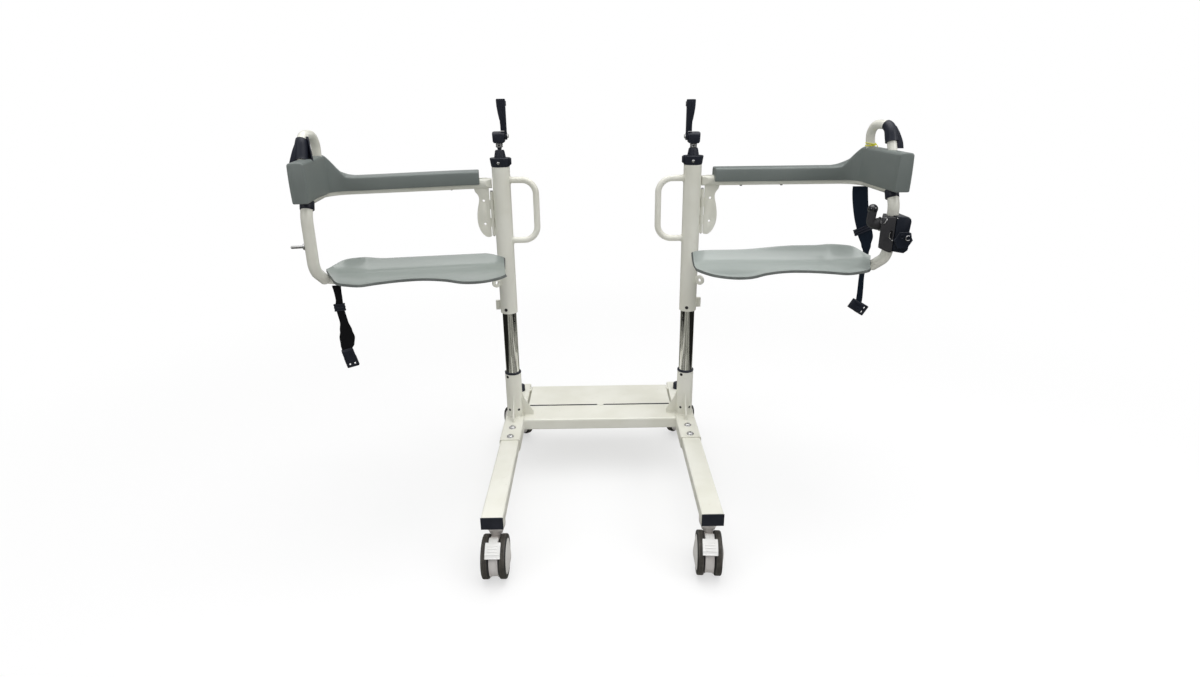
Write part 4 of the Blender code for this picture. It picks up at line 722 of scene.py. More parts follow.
for side_name, side in SIDES.items():
    foot = COLUMN[side_name]
    low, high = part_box(side_name + "_sleeve")
    mouth = low.z + 0.004
    tube = turned([
        (SLEEVE_RADIUS, mouth + 0.0006), (SLEEVE_RADIUS, high.z - 0.0006), (0.0224, high.z),
        (0.0197, high.z), (0.0193, high.z - 0.0006), (0.0193, mouth + 0.0008), (0.0199, mouth),
        (0.0222, mouth), (SLEEVE_RADIUS, mouth + 0.0006),
    ], 72, True)
    parts = [put(tube, foot)]
    root_x = -side * 0.0205
    corners = [
        (root_x, 0, HANDLE_TOP), (-side * HANDLE_OUT, 0, HANDLE_TOP),
        (-side * HANDLE_OUT, 0, HANDLE_BOTTOM), (root_x, 0, HANDLE_BOTTOM),
    ]
    path = [foot + point for point in rounded_path(corners, (HANDLE_BEND, HANDLE_BEND), 14)]
    parts.append(bent(path, HANDLE_BAR, 8))
    for height in (HANDLE_TOP, HANDLE_BOTTOM):
        root = []
        for index in range(34):
            out = heading(360 * index / 34) * HANDLE_WELD
            reach = math.sqrt(SLEEVE_RADIUS ** 2 - out.x ** 2) + 0.0004
            root.append(foot + Vector((-side * reach, out.x, height + out.y)))
        parts.append(bead(root, 0.0015, True))
    hinge = foot + Vector((side * HINGE_OUT, 0, 0))
    seam_x = foot.x + side * 0.0230
    for bottom, top in FIXED_KNUCKLES:
        parts.append(put(knuckle(bottom, top), hinge))
        parts.append(web(foot, side, bottom, top))
        for seam_y in (foot.y - 0.0030, foot.y + 0.0030):
            seam = between((seam_x, seam_y, bottom + 0.001), (seam_x, seam_y, top - 0.001))
            parts.append(bead(seam, 0.0010))
    lug = turned([
        (0.0041, PIVOT_LUG_BOTTOM), (0.0045, PIVOT_LUG_BOTTOM + CHAMFER),
        (0.0045, PIVOT_LUG_TOP - CHAMFER), (0.0041, PIVOT_LUG_TOP), (0.0026, PIVOT_LUG_TOP),
        (0.0025, 0.6322), (0.0019, 0.6328),
    ], 36)
    parts.append(put(lug, hinge))
    parts.append(web(foot, side, PIVOT_LUG_BOTTOM, PIVOT_LUG_TOP))
    disc = curve_corner((side * EYE_OUT, EYE_Z), 0.0130, 0, 350, 35)
    hole = curve_corner((side * EYE_OUT, EYE_Z), 0.0046, 0, 345, 23)
    skew = Matrix.Translation(foot) @ Matrix.Rotation(math.radians(-EYE_TURN * side), 4, "Z")
    parts.append(face_plate([disc, hole], 0.005, skew @ ACROSS, 0.0005))
    neck_top = (side * 0.0262, 0.0024, EYE_Z + 0.0095)
    neck = block((side * 0.0210, -0.0024, EYE_Z - 0.0095), neck_top, CHAMFER, 2)
    parts.append(put(neck, skew))
    for seam_y in (-0.0028, 0.0028):
        start = (side * 0.0231, seam_y, EYE_Z - 0.009)
        end = (side * 0.0231, seam_y, EYE_Z + 0.009)
        parts.append(put(bead(between(start, end, 10), 0.0011), skew))
    parts.append(block(
        foot + Vector((side * 0.0210, -0.004, TAB_BOTTOM)),
        foot + Vector((side * 0.0348, 0.004, TAB_TOP)), 0.0008,
    ))
    parts.append(block(
        foot + Vector((side * 0.0262, -0.0047, TAB_BOTTOM + 0.0045)),
        foot + Vector((side * 0.0322, -0.0038, TAB_TOP - 0.0045)), 0.0003, 2,
    ))
    body = side_name + "_column"
    fit(
        joined(*parts), side_name + "_lifting_sleeve", powder_coat, body,
        [side_name + "_sleeve"],
    )
    outward = Vector((-0.26, -1, 0)).normalized()
    screw = grub_screw(foot + outward * 0.0227 + UP * 0.4915, outward, 0.0045)
    fit(screw, side_name + "_sleeve_grub", hole_shade_and_dark_screws, body)


# The cap on the sleeve is ribbed black nylon, held by one countersunk screw. The steel lead screw
# comes up through its boss and ends in a collar with a cross hole, where the crank sits.

CAP_HEIGHT = 0.022
CAP_SCREW_UP = 0.0102
SCREW_WELL = [(0.0044, -0.0010), (0.0046, 0.0005), (0.0041, 0.0007), (0.0036, -0.0004)]
SCREW_HEAD = [
    (0.0034, -0.0008), (0.0034, 0.0007), (0.0028, 0.0013), (0.0016, 0.0016), (0.0012, 0.0010),
]
THREAD_POINTS = 230
POINTS_A_TURN = 24
THREAD_RADIUS = 0.00545

for side_name, side in SIDES.items():
    foot = COLUMN[side_name]
    body = side_name + "_column"
    low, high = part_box(side_name + "_column_cap")
    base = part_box(side_name + "_sleeve")[1].z + 0.0003
    rim = base + CAP_HEIGHT
    cap = turned([
        (0.0190, low.z), (0.0190, base), (0.0224, base), (0.0230, base + 0.0006),
        (0.0264, rim - 0.0022), (0.0262, rim - 0.0008), (0.0254, rim), (0.0160, rim),
        (0.0146, rim + 0.0006), (0.0138, rim + 0.0020), (0.0110, high.z - 0.0010),
        (0.0102, high.z), (0.0060, high.z), (0.0054, high.z - 0.0006), (0.0053, low.z),
        (0.0190, low.z),
    ], 72, True)
    parts = [put(cap, foot)]
    for count, start, end, radii, sides, nearest in (
        (14, (0.0139, rim + 0.0006), (0.0110, high.z - 0.0018), (0.0011, 0.0008), 10, -2),
        (20, (0.0227, base + 0.0012), (0.0254, rim - 0.0030), (0.0009, 0.0009), 8, -0.90),
    ):
        for index in range(count):
            out = heading(360 * (index + 0.5) / count)
            if out.y > nearest:
                root = foot + out * start[0] + UP * start[1]
                tip = foot + out * end[0] + UP * end[1]
                parts.append(bar(root, tip, *radii, sides))
    parts.append(block(
        foot + Vector((-side * 0.0200, -0.009, base + 0.0042)),
        foot + Vector((-side * 0.0276, 0.009, rim - 0.0010)), 0.0020,
    ))
    fit(
        joined(*parts), side_name + "_ribbed_cap", black_nylon, body,
        [side_name + "_column_cap"],
    )
    toward = Vector((-0.11, -1, 0)).normalized()
    screw_spot = foot + toward * 0.0243 + UP * (base + CAP_SCREW_UP)
    # The dark ring round the screw is painted shade in its well.
    well = lay(turned(SCREW_WELL, 32), screw_spot, toward)
    fit(well, side_name + "_cap_screw_well", hole_shade_and_dark_screws, body)
    head = lay(turned(SCREW_HEAD, 32), screw_spot, toward)
    fit(head, side_name + "_cap_screw", zinc, body)

    low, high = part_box(side_name + "_lead_screw")
    body = side_name + "_crank"
    collar = high.z - 0.010
    shoulder = base - 0.0186
    thread = []
    for index in range(THREAD_POINTS):
        out = heading(360 * index / POINTS_A_TURN) * THREAD_RADIUS
        climb = (shoulder - low.z - 0.008) * index / (THREAD_POINTS - 1)
        thread.append(foot + out + UP * (low.z + 0.004 + climb))
    rod = turned([
        (0.0042, low.z), (0.0054, low.z + 0.0014), (0.0054, shoulder), (0.0046, shoulder + 0.0004),
        (0.0046, collar + 0.0010),
    ], 32)
    rod = joined(put(rod, foot), bent(thread, 0.0007, 1))
    fit(rod, side_name + "_screw_rod", zinc, body, angle=60)
    sheath = turned([
        (0.0051, base - 0.010), (0.0051, collar - 0.0030), (0.0058, collar - 0.0024),
        (0.0058, collar - 0.0006), (0.0050, collar),
    ], 32)
    fit(put(sheath, foot), side_name + "_stem_sheath", black_nylon, body)
    knob = turned([
        (0.0080, collar), (0.0088, collar + 0.0008), (0.0088, collar + 0.0036),
        (0.0084, collar + 0.0042), (0.0084, collar + 0.0056), (0.0088, collar + 0.0062),
        (0.0088, high.z - 0.0008), (0.0080, high.z),
    ], 40)
    fit(put(knob, foot), side_name + "_collar", zinc, body, [side_name + "_lead_screw"])
    # A dark disc stands for the cross hole: painted shade.
    cross_hole = turned([(0.0023, -0.0010), (0.0023, 0.0004), (0.0019, 0.0005)], 24)
    lay(cross_hole, foot + Vector((0, -0.0085, collar + 0.0052)), (0, -1, 0))
    fit(cross_hole, side_name + "_collar_hole", hole_shade_and_dark_screws, body)


# The crank: a moulded hub clamped on the screw, an arm on its inner side that folds down about a
# hexagon bolt, and a small round grip that folds out behind the arm's end.

PIVOT_UP = 0.017
HUB_THICK = 0.022
ARM_BACK = 0.0210
ARM_NEAR = 0.0158
ARM_THICK = 0.009
ARM_TIP = 0.0854
GRIP_PIN_HALF = 0.0095
BOLT_HEAD = [(0.0052, 0.0), (0.0058, 0.0004), (0.0058, 0.0024), (0.0050, 0.0032), (0.0030, 0.0033)]
TANG = [(0.0088, 0.0), (0.0092, 0.0004), (0.0092, 0.0044), (0.0088, 0.0048)]


def modified(piece, kind, **settings):
    """Adds a modifier with its settings and applies it."""
    pick(piece)
    step = piece.modifiers.new("step", kind)
    for name, value in settings.items():
        setattr(step, name, value)
    bpy.ops.object.modifier_apply(modifier="step")
    return piece


def cut(piece, *tools, operation="DIFFERENCE"):
    """Cuts a piece with others, which are used up."""
    for tool in tools:
        modified(piece, "BOOLEAN", operation=operation, solver="EXACT", object=tool)
        bpy.data.objects.remove(tool)
    return piece


for side_name, side in SIDES.items():
    foot = COLUMN[side_name]
    low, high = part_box(side_name + "_crank_hub")
    bottom = low.z
    top = high.z
    pivot = bottom + PIVOT_UP
    crank_body = side_name + "_crank"
    inward = Vector((-side, 0, 0))
    outline = [(-0.0155, top - 0.003)] + curve_corner((-0.0125, top - 0.003), 0.003, 180, 90, 4)[1:]
    outline += curve_corner((0.0125, top - 0.003), 0.003, 90, 0, 4)
    outline += curve_corner((0.0085, bottom + 0.0062), 0.0062, 0, -75, 5)
    outline += curve_corner((-0.0085, bottom + 0.0062), 0.0062, -105, -180, 5)
    hub = face_plate([outline], HUB_THICK, Matrix.Translation(foot) @ ACROSS, 0.0005)
    quarter = curve_corner((0, pivot), 0.011, 90, 180, 12)
    quarter += [(-0.011, bottom - 0.001), (0.012, bottom - 0.001), (0.012, top)]
    mould = face_plate([quarter], 0.06, Matrix.Translation(foot) @ SIDEWAYS, 0.00001)
    cut(hub, mould, operation="INTERSECT")
    raised_face = [(-0.0110, top - 0.0065)]
    raised_face += curve_corner((0.0, pivot - 0.0062), 0.0095, 205, 335, 10)
    raised_face.append((0.0110, top - 0.0065))
    hub_front = Matrix.Translation(foot + Vector((0, -0.0108, 0)))
    face = face_plate([raised_face], 0.0012, hub_front @ ACROSS, 0.0004)
    fit(
        joined(hub, face), side_name + "_hub", black_nylon, crank_body,
        [side_name + "_crank_hub"],
    )
    at_pivot = foot + UP * pivot
    shank = lay(turned([(0.0030, 0), (0.0030, 0.0112)], 24), at_pivot + inward * 0.010, inward)
    head = lay(turned(BOLT_HEAD, 6), at_pivot + inward * 0.0212, inward)
    fit(joined(shank, head), side_name + "_crank_bolt", zinc, crank_body)

    blade = curve_corner((ARM_NEAR + 0.0010, -0.0065), 0.0010, 180, 270, 2)
    blade += curve_corner((ARM_BACK - 0.0012, -0.0064), 0.0012, 270, 360, 3)
    blade += curve_corner((ARM_BACK - 0.0026, ARM_TIP), 0.0026, 0, 90, 5)
    blade += curve_corner((ARM_BACK - 0.0196, ARM_TIP), 0.0026, 90, 180, 5)
    for narrower, up in (
        (0.0215, 0.070), (0.0196, 0.056), (0.0172, 0.043), (0.0150, 0.034), (0.0148, 0.0124),
    ):
        blade.append((ARM_BACK - narrower, up))
    blade.append((ARM_NEAR, 0.0124))
    blade = [(-side * across, up) for across, up in blade]
    arm_spot = Matrix.Translation(at_pivot + Vector((0, -0.0035, 0)))
    parts = [face_plate([blade], ARM_THICK, arm_spot @ ACROSS, 0.0008)]
    tang = lay(turned(TANG, 44), at_pivot + inward * 0.0160, inward)
    parts.append(tang)
    rib_face = at_pivot + Vector((0, -0.0081, 0))
    for offset in (0.0042, 0.0096):
        start = rib_face + inward * (ARM_BACK - offset) + UP * 0.016
        end = rib_face + inward * (ARM_BACK - offset * 1.35) + UP * 0.084
        parts.append(bar(start, end, 0.0009, 0.0011, 12))
    grip_low, grip_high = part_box(side_name + "_crank_grip")
    hinge = Vector((
        (grip_low.x + grip_high.x) / 2, (grip_low.y + grip_high.y) / 2, grip_high.z - 0.006,
    ))
    pin_half = Vector((GRIP_PIN_HALF, 0, 0))
    parts.append(bar(hinge - pin_half, hinge + pin_half, 0.0020, sides=20))
    for near_x, far_x in ((-0.0186, -0.0212), (0.0004, -0.0022)):
        parts.append(block(
            (foot.x + side * near_x, foot.y - 0.004, hinge.z - 0.006),
            (foot.x + side * far_x, hinge.y + 0.0045, hinge.z + 0.006), 0.0008, 2,
        ))
    fit(
        joined(*parts), side_name + "_arm", black_nylon, side_name + "_crank_arm",
        [side_name + "_crank_arm"],
    )

    tip = grip_high.z
    grip = turned([
        (0.0024, tip - 0.0006), (0.0046, tip - 0.0022), (0.0060, tip - 0.0060),
        (0.0058, tip - 0.012), (0.0051, tip - 0.028), (0.0054, tip - 0.042),
        (0.0060, grip_low.z + 0.006), (0.0056, grip_low.z + 0.002), (0.0040, grip_low.z),
    ], 32)
    put(grip, Vector((hinge.x, hinge.y, 0)))
    fit(
        grip, side_name + "_grip", black_nylon, side_name + "_crank_grip",
        [side_name + "_crank_grip"],
    )


# Each wing frame is one round tube, bent at the corner of the arm into the rear tube, with a flat
# hinge plate and two knuckles welded on. Places on a wing are r out along the arm, s over the seat
# and z up, in the wing's own numbers; the left arm sags a little.

OPENED = {"left": 9.2, "right": 0.2}
ARM_S = -0.005
ARM_Z = 0.827
CORNER_R = 0.403
REAR_BEND_Z = 0.670
SAG = {1: 0.0, -1: 0.005}
TUBE_RADIUS = 0.0128
FRAME_CORNERS = [
    (-0.0025, ARM_S, ARM_Z), (CORNER_R, ARM_S, ARM_Z), (CORNER_R + 0.002, 0.219, ARM_Z),
    (CORNER_R + 0.007, 0.206, REAR_BEND_Z), (CORNER_R + 0.002, 0.145, 0.634),
]
FRAME_BENDS = (0.055, 0.045, 0.045)
SWEEP_RADIUS = 0.0243
SWEEP = [(SWEEP_RADIUS, ARM_Z - 0.030), (SWEEP_RADIUS, ARM_Z + 0.030)]
SWEEP_TURNS = (-105, -80, -55, -30, -5, 0)
HINGE_PLATE = [(0.0062, 0.838), (0.0415, 0.838)]
HINGE_PLATE += curve_corner((0.0415, 0.8355), 0.0025, 90, 0, 3)
HINGE_PLATE += [
    (0.0440, 0.815), (0.0415, 0.806), (0.0360, 0.7995), (0.0332, 0.793), (0.0325, 0.787),
    (0.0335, 0.780), (0.0355, 0.772), (0.0380, 0.761), (0.0396, 0.750), (0.0403, 0.739),
    (0.0400, 0.729), (0.0383, 0.718), (0.0350, 0.708), (0.0308, 0.700), (0.0260, 0.694),
    (0.0210, 0.690), (0.0160, 0.688), (0.0110, 0.6885), (0.0062, 0.690),
]
PLATE_HOLES = (0.783, 0.723)
WING_KNUCKLES = ((0.7143, 0.7377), (0.7603, 0.7837))
WING = {}
for side_name, side in SIDES.items():
    hinge = COLUMN[side_name] + Vector((side * HINGE_OUT, 0, 0))
    opened = Matrix.Rotation(math.radians(OPENED[side_name]), 4, "Z")
    WING[side_name] = Matrix.Translation(hinge) @ opened


def on_wing(side, r, s, z):
    return Vector((side * r, -s, z))


def frame_tube(side, radius):
    corners = [on_wing(side, *corner) for corner in FRAME_CORNERS]
    corners[1].z -= SAG[side]
    return bent(rounded_path(corners, FRAME_BENDS, 16), radius, 7)


def wing_fit(piece, side_name, name, finish, replaced="", angle=32):
    """Carries a piece from the wing's own numbers to the open wing and fits it to that body."""
    put(piece, WING[side_name])
    nodes = [f"{side_name}_{replaced}"] if replaced else ()
    fit(piece, f"{side_name}_{name}", finish, side_name + "_wing", nodes, angle)


for side_name, side in SIDES.items():
    tube = frame_tube(side, TUBE_RADIUS)
    sweep = []
    for degrees in SWEEP_TURNS:
        angle = math.radians(degrees)
        out, over = HINGE_OUT * math.sin(angle), HINGE_OUT * math.cos(angle)
        sweep.append(put(turned(SWEEP, 64), on_wing(side, out, over, 0)))
    parts = [cut(tube, *sweep)]
    loops = [[(side * r, z) for r, z in HINGE_PLATE]]
    for hole_z in PLATE_HOLES:
        loops.append([(side * r, z) for r, z in curve_corner((0.021, hole_z), 0.0031, 0, 342, 19)])
    parts.append(face_plate(loops, 0.005, Matrix.Translation((0, 0.003, 0)) @ ACROSS, 0.0005))
    for bottom, top in WING_KNUCKLES:
        parts.append(knuckle(bottom, top))
        tab_top = (side * 0.0084, 0.005, top - 0.0003)
        parts.append(block((side * 0.0036, 0.001, bottom + 0.0003), tab_top, 0.0004, 2))
        foot_of_seam = (side * 0.0052, 0.0002, bottom + 0.001)
        parts.append(bead(between(foot_of_seam, (side * 0.0052, 0.0002, top - 0.001), 14), 0.0009))
    for seam_z in (0.8135, 0.8402):
        seam = between((side * 0.008, 0.0036, seam_z), (side * 0.042, 0.0036, seam_z), 26)
        parts.append(bead(seam, 0.0010))
    wing_fit(
        joined(*parts), side_name, "arm_and_rear_tube", powder_coat, "wing_frame",
    )
    low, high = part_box(side_name + "_hinge_pin")
    pin = turned([
        (0.0015, low.z), (0.0020, low.z + 0.0005), (0.0020, high.z - 0.0025),
        (0.0036, high.z - 0.0025), (0.0036, high.z - 0.0010), (0.0030, high.z), (0.0012, high.z),
    ], 32)
    fit(
        put(pin, WING[side_name]), side_name + "_pin", zinc, side_name + "_column",
        [side_name + "_hinge_pin"],
    )


# Under each seat half runs a round rail, welded to the end of the rear tube and carried at the
# column by a flat tab with a knuckle on the lower pivot.

RAIL_Z = 0.617
RAIL_RADIUS = 0.010
RAIL_CORNERS = [
    FRAME_CORNERS[-1], (CORNER_R - 0.053, 0.115, RAIL_Z), (0.140, 0.100, RAIL_Z),
    (0.075, 0.012, RAIL_Z), (0.036, -0.001, RAIL_Z),
]
TAB_LOW = 0.6093
TAB_HIGH = 0.6248

for side_name, side in SIDES.items():
    path = rounded_path([on_wing(side, *corner) for corner in RAIL_CORNERS], (0.05, 0.05, 0.03), 12)
    seam = between(on_wing(side, 0.037, -0.0062, 0.6262), on_wing(side, 0.048, -0.0062, 0.6262), 10)
    rail = joined(
        bent(path, RAIL_RADIUS, 6),
        knuckle(TAB_LOW, TAB_HIGH, 0.0029),
        block(
            (side * 0.0037, 0.0008, TAB_LOW + 0.0003), (side * 0.048, 0.0052, TAB_HIGH - 0.0003),
            0.0005, 2,
        ),
        bead(seam, 0.0010),
    )
    wing_fit(rail, side_name, "under_seat_rail", powder_coat, "seat_rail")


# The push handle is a loop of thinner bar welded on top of the rear corner of the frame. A black
# rubber sleeve with flaps is pushed over its near leg; a yellow tie is wound on the right far leg.

LOOP_FOOT_Z = 0.8338
LOOP_FAR_S = 0.064
LOOP_RADIUS = 0.0105
LOOP_END = [(CORNER_R + 0.008, 0.160, 0.905), (CORNER_R + 0.001, 0.164, LOOP_FOOT_Z)]
LOOP_CORNERS = {
    -1: [
        (CORNER_R - 0.002, LOOP_FAR_S, LOOP_FOOT_Z), (CORNER_R - 0.006, LOOP_FAR_S, 0.960),
        (CORNER_R + 0.006, 0.136, 0.960),
    ] + LOOP_END,
    1: [
        (CORNER_R - 0.001, LOOP_FAR_S, LOOP_FOOT_Z), (CORNER_R - 0.003, LOOP_FAR_S, 0.892),
        (CORNER_R - 0.014, LOOP_FAR_S, 0.965), (CORNER_R + 0.005, 0.136, 0.965),
    ] + LOOP_END,
}
LOOP_BENDS = {-1: (0.035, 0.030, 0.030), 1: (0.030, 0.035, 0.030, 0.030)}
SLEEVE_HEIGHTS = {-1: (0.9500, 0.9090), 1: (0.9638, 0.9240)}
SLEEVE_NEAR_S = 0.110
SLEEVE_WIDENS = 0.16
FLAPS = {
    -1: (
        ((1, 0.1, 0), (0.4125, 0.150, 0.945, 0.0175), (0.4180, 0.158, 0.931, 0.0175),
         (0.4235, 0.163, 0.916, 0.0170), (0.4280, 0.166, 0.903, 0.0165)),
        ((0.6, -0.8, 0), (0.3985, 0.136, 0.958, 0.015), (0.3970, 0.141, 0.942, 0.018),
         (0.3955, 0.146, 0.923, 0.021), (0.3940, 0.150, 0.906, 0.022)),
    ),
    1: (
        ((1, 0.2, 0), (0.4170, 0.134, 0.962, 0.012), (0.4215, 0.146, 0.946, 0.014),
         (0.4260, 0.154, 0.929, 0.015), (0.4285, 0.158, 0.914, 0.014)),
    ),
}
FLAP_THICK = 0.0030
STRAP_COLUMNS = (-0.5, -0.46, -0.25, 0.0, 0.25, 0.46, 0.5)
TIE_RADIUS = 0.0116


def loop_path(side):
    corners = [on_wing(side, *corner) for corner in LOOP_CORNERS[side]]
    return rounded_path(corners, LOOP_BENDS[side], 14)


def strap(side, stations, thick=0.0022, samples=7):
    """Webbing through stations of (point, width, way across), smooth between, with its own UV."""
    points = [Vector(station[0]) for station in stations]
    ways = [Vector(station[2]).normalized() for station in stations]
    rows = []
    for index in range(len(stations) - 1):
        before = points[max(index - 1, 0)]
        start = points[index]
        end = points[index + 1]
        after = points[min(index + 2, len(points) - 1)]
        slope = end - before
        bend = 2 * before - 5 * start + 4 * end - after
        twist = 3 * start - before - 3 * end + after
        steps = samples if index < len(stations) - 2 else samples + 1
        for step in range(steps):
            t = step / samples
            spot = 0.5 * (2 * start + slope * t + bend * t * t + twist * t ** 3)
            ease = t * t * (3 - 2 * t)
            width = stations[index][1] + (stations[index + 1][1] - stations[index][1]) * ease
            rows.append((spot, width, ways[index].lerp(ways[index + 1], ease).normalized()))
    shape_points = []
    uv_points = []
    run = 0.0
    for index, (spot, width, way) in enumerate(rows):
        if index:
            run += (spot - rows[index - 1][0]).length
        for share in STRAP_COLUMNS:
            shape_points.append(on_wing(side, *(spot + way * (share * width))))
            uv_points.append((share * width, run))
    faces = []
    count = len(STRAP_COLUMNS)
    for row in range(len(rows) - 1):
        for index in range(count - 1):
            first = row * count + index
            faces.append((first, first + 1, first + count + 1, first + count))
    mesh = bpy.data.meshes.new("strap")
    mesh.from_pydata(shape_points, [], faces)
    layer = mesh.uv_layers.new(name="weave")
    for loop in mesh.loops:
        layer.data[loop.index].uv = uv_points[loop.vertex_index]
    piece = modified(shown(mesh), "SOLIDIFY", thickness=thick, offset=0.0)
    return modified(
        piece, "BEVEL", width=thick * 0.22, segments=2, limit_method="ANGLE",
        angle_limit=math.radians(50),
    )


for side_name, side in SIDES.items():
    path = loop_path(side)
    wing_fit(
        bent(path, LOOP_RADIUS), side_name, "push_handle", powder_coat, "push_loop",
    )
    fine_path = []
    for start, end in zip(path, path[1:]):
        fine_path += between(start, end, 6)[:-1]
    upper, lower = SLEEVE_HEIGHTS[side]
    covered = [
        point for point in fine_path if -point.y > SLEEVE_NEAR_S and upper > point.z > lower
    ]
    shares = [1.0 + SLEEVE_WIDENS * k / (len(covered) - 1) for k in range(len(covered))]
    parts = [bent(covered, 0.0127, 7, shares)]
    for way, *flap in FLAPS[side]:
        stations = [(spot, width, way) for *spot, width in flap]
        parts.append(strap(side, stations, FLAP_THICK))
    wing_fit(
        joined(*parts), side_name, "rubber_sleeve", black_nylon, "loop_band", 45,
    )

yellow_tie, shader, place = new_finish("yellow_tie", 0.45)
faded = place.noise(400.0, 4.0, 0.6)
faded.tint((0.62, 0.60, 0.030), (0.86, 0.82, 0.080)).into(shader, "Base Color")
(place.noise(300.0, 3.0) * 0.2 + 0.35).into(shader, "Roughness")
raised(place.noise(700.0, 3.0), 0.2, shader)
rings = []
leg_end, loop_bend = LOOP_CORNERS[1][1:3]
for lift, tilt in ((0.9145, 0.10), (0.9185, -0.16), (0.9165, 0.24)):
    climbed = (lift - leg_end[2]) / (loop_bend[2] - leg_end[2])
    middle = on_wing(1, leg_end[0] + (loop_bend[0] - leg_end[0]) * climbed, LOOP_FAR_S, lift)
    ring = []
    for index in range(40):
        out = heading(9 * index) * TIE_RADIUS
        ring.append(middle + out + UP * (out.x * tilt))
    rings.append(bent(ring, 0.0011, 3, None, True))
tail = [(0.0118, -0.002, 0.002), (0.0135, -0.006, -0.001), (0.0150, -0.009, -0.006)]
rings.append(bent([middle + Vector(point) for point in tail], 0.0010, 3))
winding = put(joined(*rings), WING["right"])
fit(winding, "yellow_tie_winding", yellow_tie, "right_wing", angle=60)


# The arm and back pad is moulded skin foam in satin grey-green, pushed over the tube from above:
# low along the arm, rising round the corner into a slimmer back pad with a square cut end.

PAD_START = 0.0285
PAD_BEND = 0.055
PAD_END_S = 0.2474
PAD_HALF_ARM = 0.025
PAD_HALF_BACK = 0.0165
PAD_BOTTOM = 0.826
PAD_TOP_ARM = 0.860
PAD_TOP_BACK = 0.911
ROUND_TOP = 0.0065
ROUND_LOW = 0.0030
CROWN = 0.0008
PAD_COLLAR = [
    (0.0132, 0.0), (0.0148, 0.0), (0.0153, 0.0010), (0.0153, 0.0187), (0.0147, 0.0197),
    (0.0132, 0.0197), (0.0132, 0.0),
]
PAD_SCREW = [
    (0.0030, -0.0010), (0.0034, 0.0003), (0.0030, 0.0012), (0.0016, 0.0016), (0.0011, 0.0008),
]
PAD_SCREWS_R = (0.100, 0.205)

pad_skin, shader, place = new_finish("pad_skin", 0.44)
broad = place.noise(5.0, 3.0).step(0.35, 0.65)
pores = place.node(
    "TexVoronoi", {"feature": "DISTANCE_TO_EDGE"}, {"Vector": place, "Scale": 620.0},
)
fine = place.noise(900.0, 3.0, 0.6)
dusty = place.noise(26.0, 5.0, 0.6).step(0.55, 0.80)
tone = broad.tint((0.164, 0.188, 0.179), (0.186, 0.210, 0.200))
(dusty * 0.20).tint(tone, (0.245, 0.262, 0.250)).into(shader, "Base Color")
(fine * 0.14 + 0.34 + dusty * 0.08).into(shader, "Roughness")
raised(pores.step(0.0, 0.18) * 0.7 + fine * 0.3, 0.16, shader)

bend_centre = Vector((CORNER_R - PAD_BEND, ARM_S + PAD_BEND))
arm_start = PAD_START + 0.0026
PAD_LINE = []
for shift, inset in ((0.0, 0.0024), (0.0005, 0.0010), (0.0014, 0.0003), (0.0026, 0.0)):
    PAD_LINE.append((Vector((PAD_START + shift, ARM_S)), 0.0, inset))
for index in range(1, 22):
    r = arm_start + (bend_centre.x - arm_start) * index / 22
    PAD_LINE.append((Vector((r, ARM_S)), 0.0, 0.0))
for index in range(21):
    turn = math.radians(90 * index / 20)
    out = Vector((math.sin(turn), -math.cos(turn)))
    PAD_LINE.append((bend_centre + PAD_BEND * out, turn, 0.0))
for index in range(1, 16):
    share = index / 15
    s = bend_centre.y + (PAD_END_S - bend_centre.y) * share
    PAD_LINE.append((Vector((CORNER_R + 0.002 * share, s)), math.pi / 2, 0.0))
for shift, inset in ((0.0012, 0.0003), (0.0021, 0.0010), (0.0026, 0.0024)):
    PAD_LINE.append((Vector((CORNER_R + 0.002, PAD_END_S + shift)), math.pi / 2, inset))


def smooth_share(value, start, end):
    share = min(max((value - start) / (end - start), 0.0), 1.0)
    return share * share * (3 - 2 * share)


def pad_ring(side, centre, turn, half, bottom, top, inset):
    """Points across the pad: crowned sides, a round top edge and a tighter lower one."""
    inward = Vector((-math.sin(turn), math.cos(turn)))
    half -= inset
    bottom += inset
    top -= inset
    crowned = []
    for share in (0.25, 0.5, 0.75):
        height = bottom + ROUND_LOW + (top - bottom - ROUND_LOW - ROUND_TOP) * share
        crowned.append((half + CROWN * math.sin(math.pi * share), height))
    flat = curve_corner((half - ROUND_LOW, bottom + ROUND_LOW), ROUND_LOW, -90, 0, 4)
    flat += crowned
    flat += curve_corner((half - ROUND_TOP, top - ROUND_TOP), ROUND_TOP, 0, 90, 6)
    flat.append((0.0, top + CROWN * 0.6))
    flat += curve_corner((ROUND_TOP - half, top - ROUND_TOP), ROUND_TOP, 90, 180, 6)
    flat += [(-out, height) for out, height in reversed(crowned)]
    flat += curve_corner((ROUND_LOW - half, bottom + ROUND_LOW), ROUND_LOW, 180, 270, 4)
    flat.append((0.0, bottom))
    return [on_wing(side, *(centre + inward * out), height) for out, height in flat]


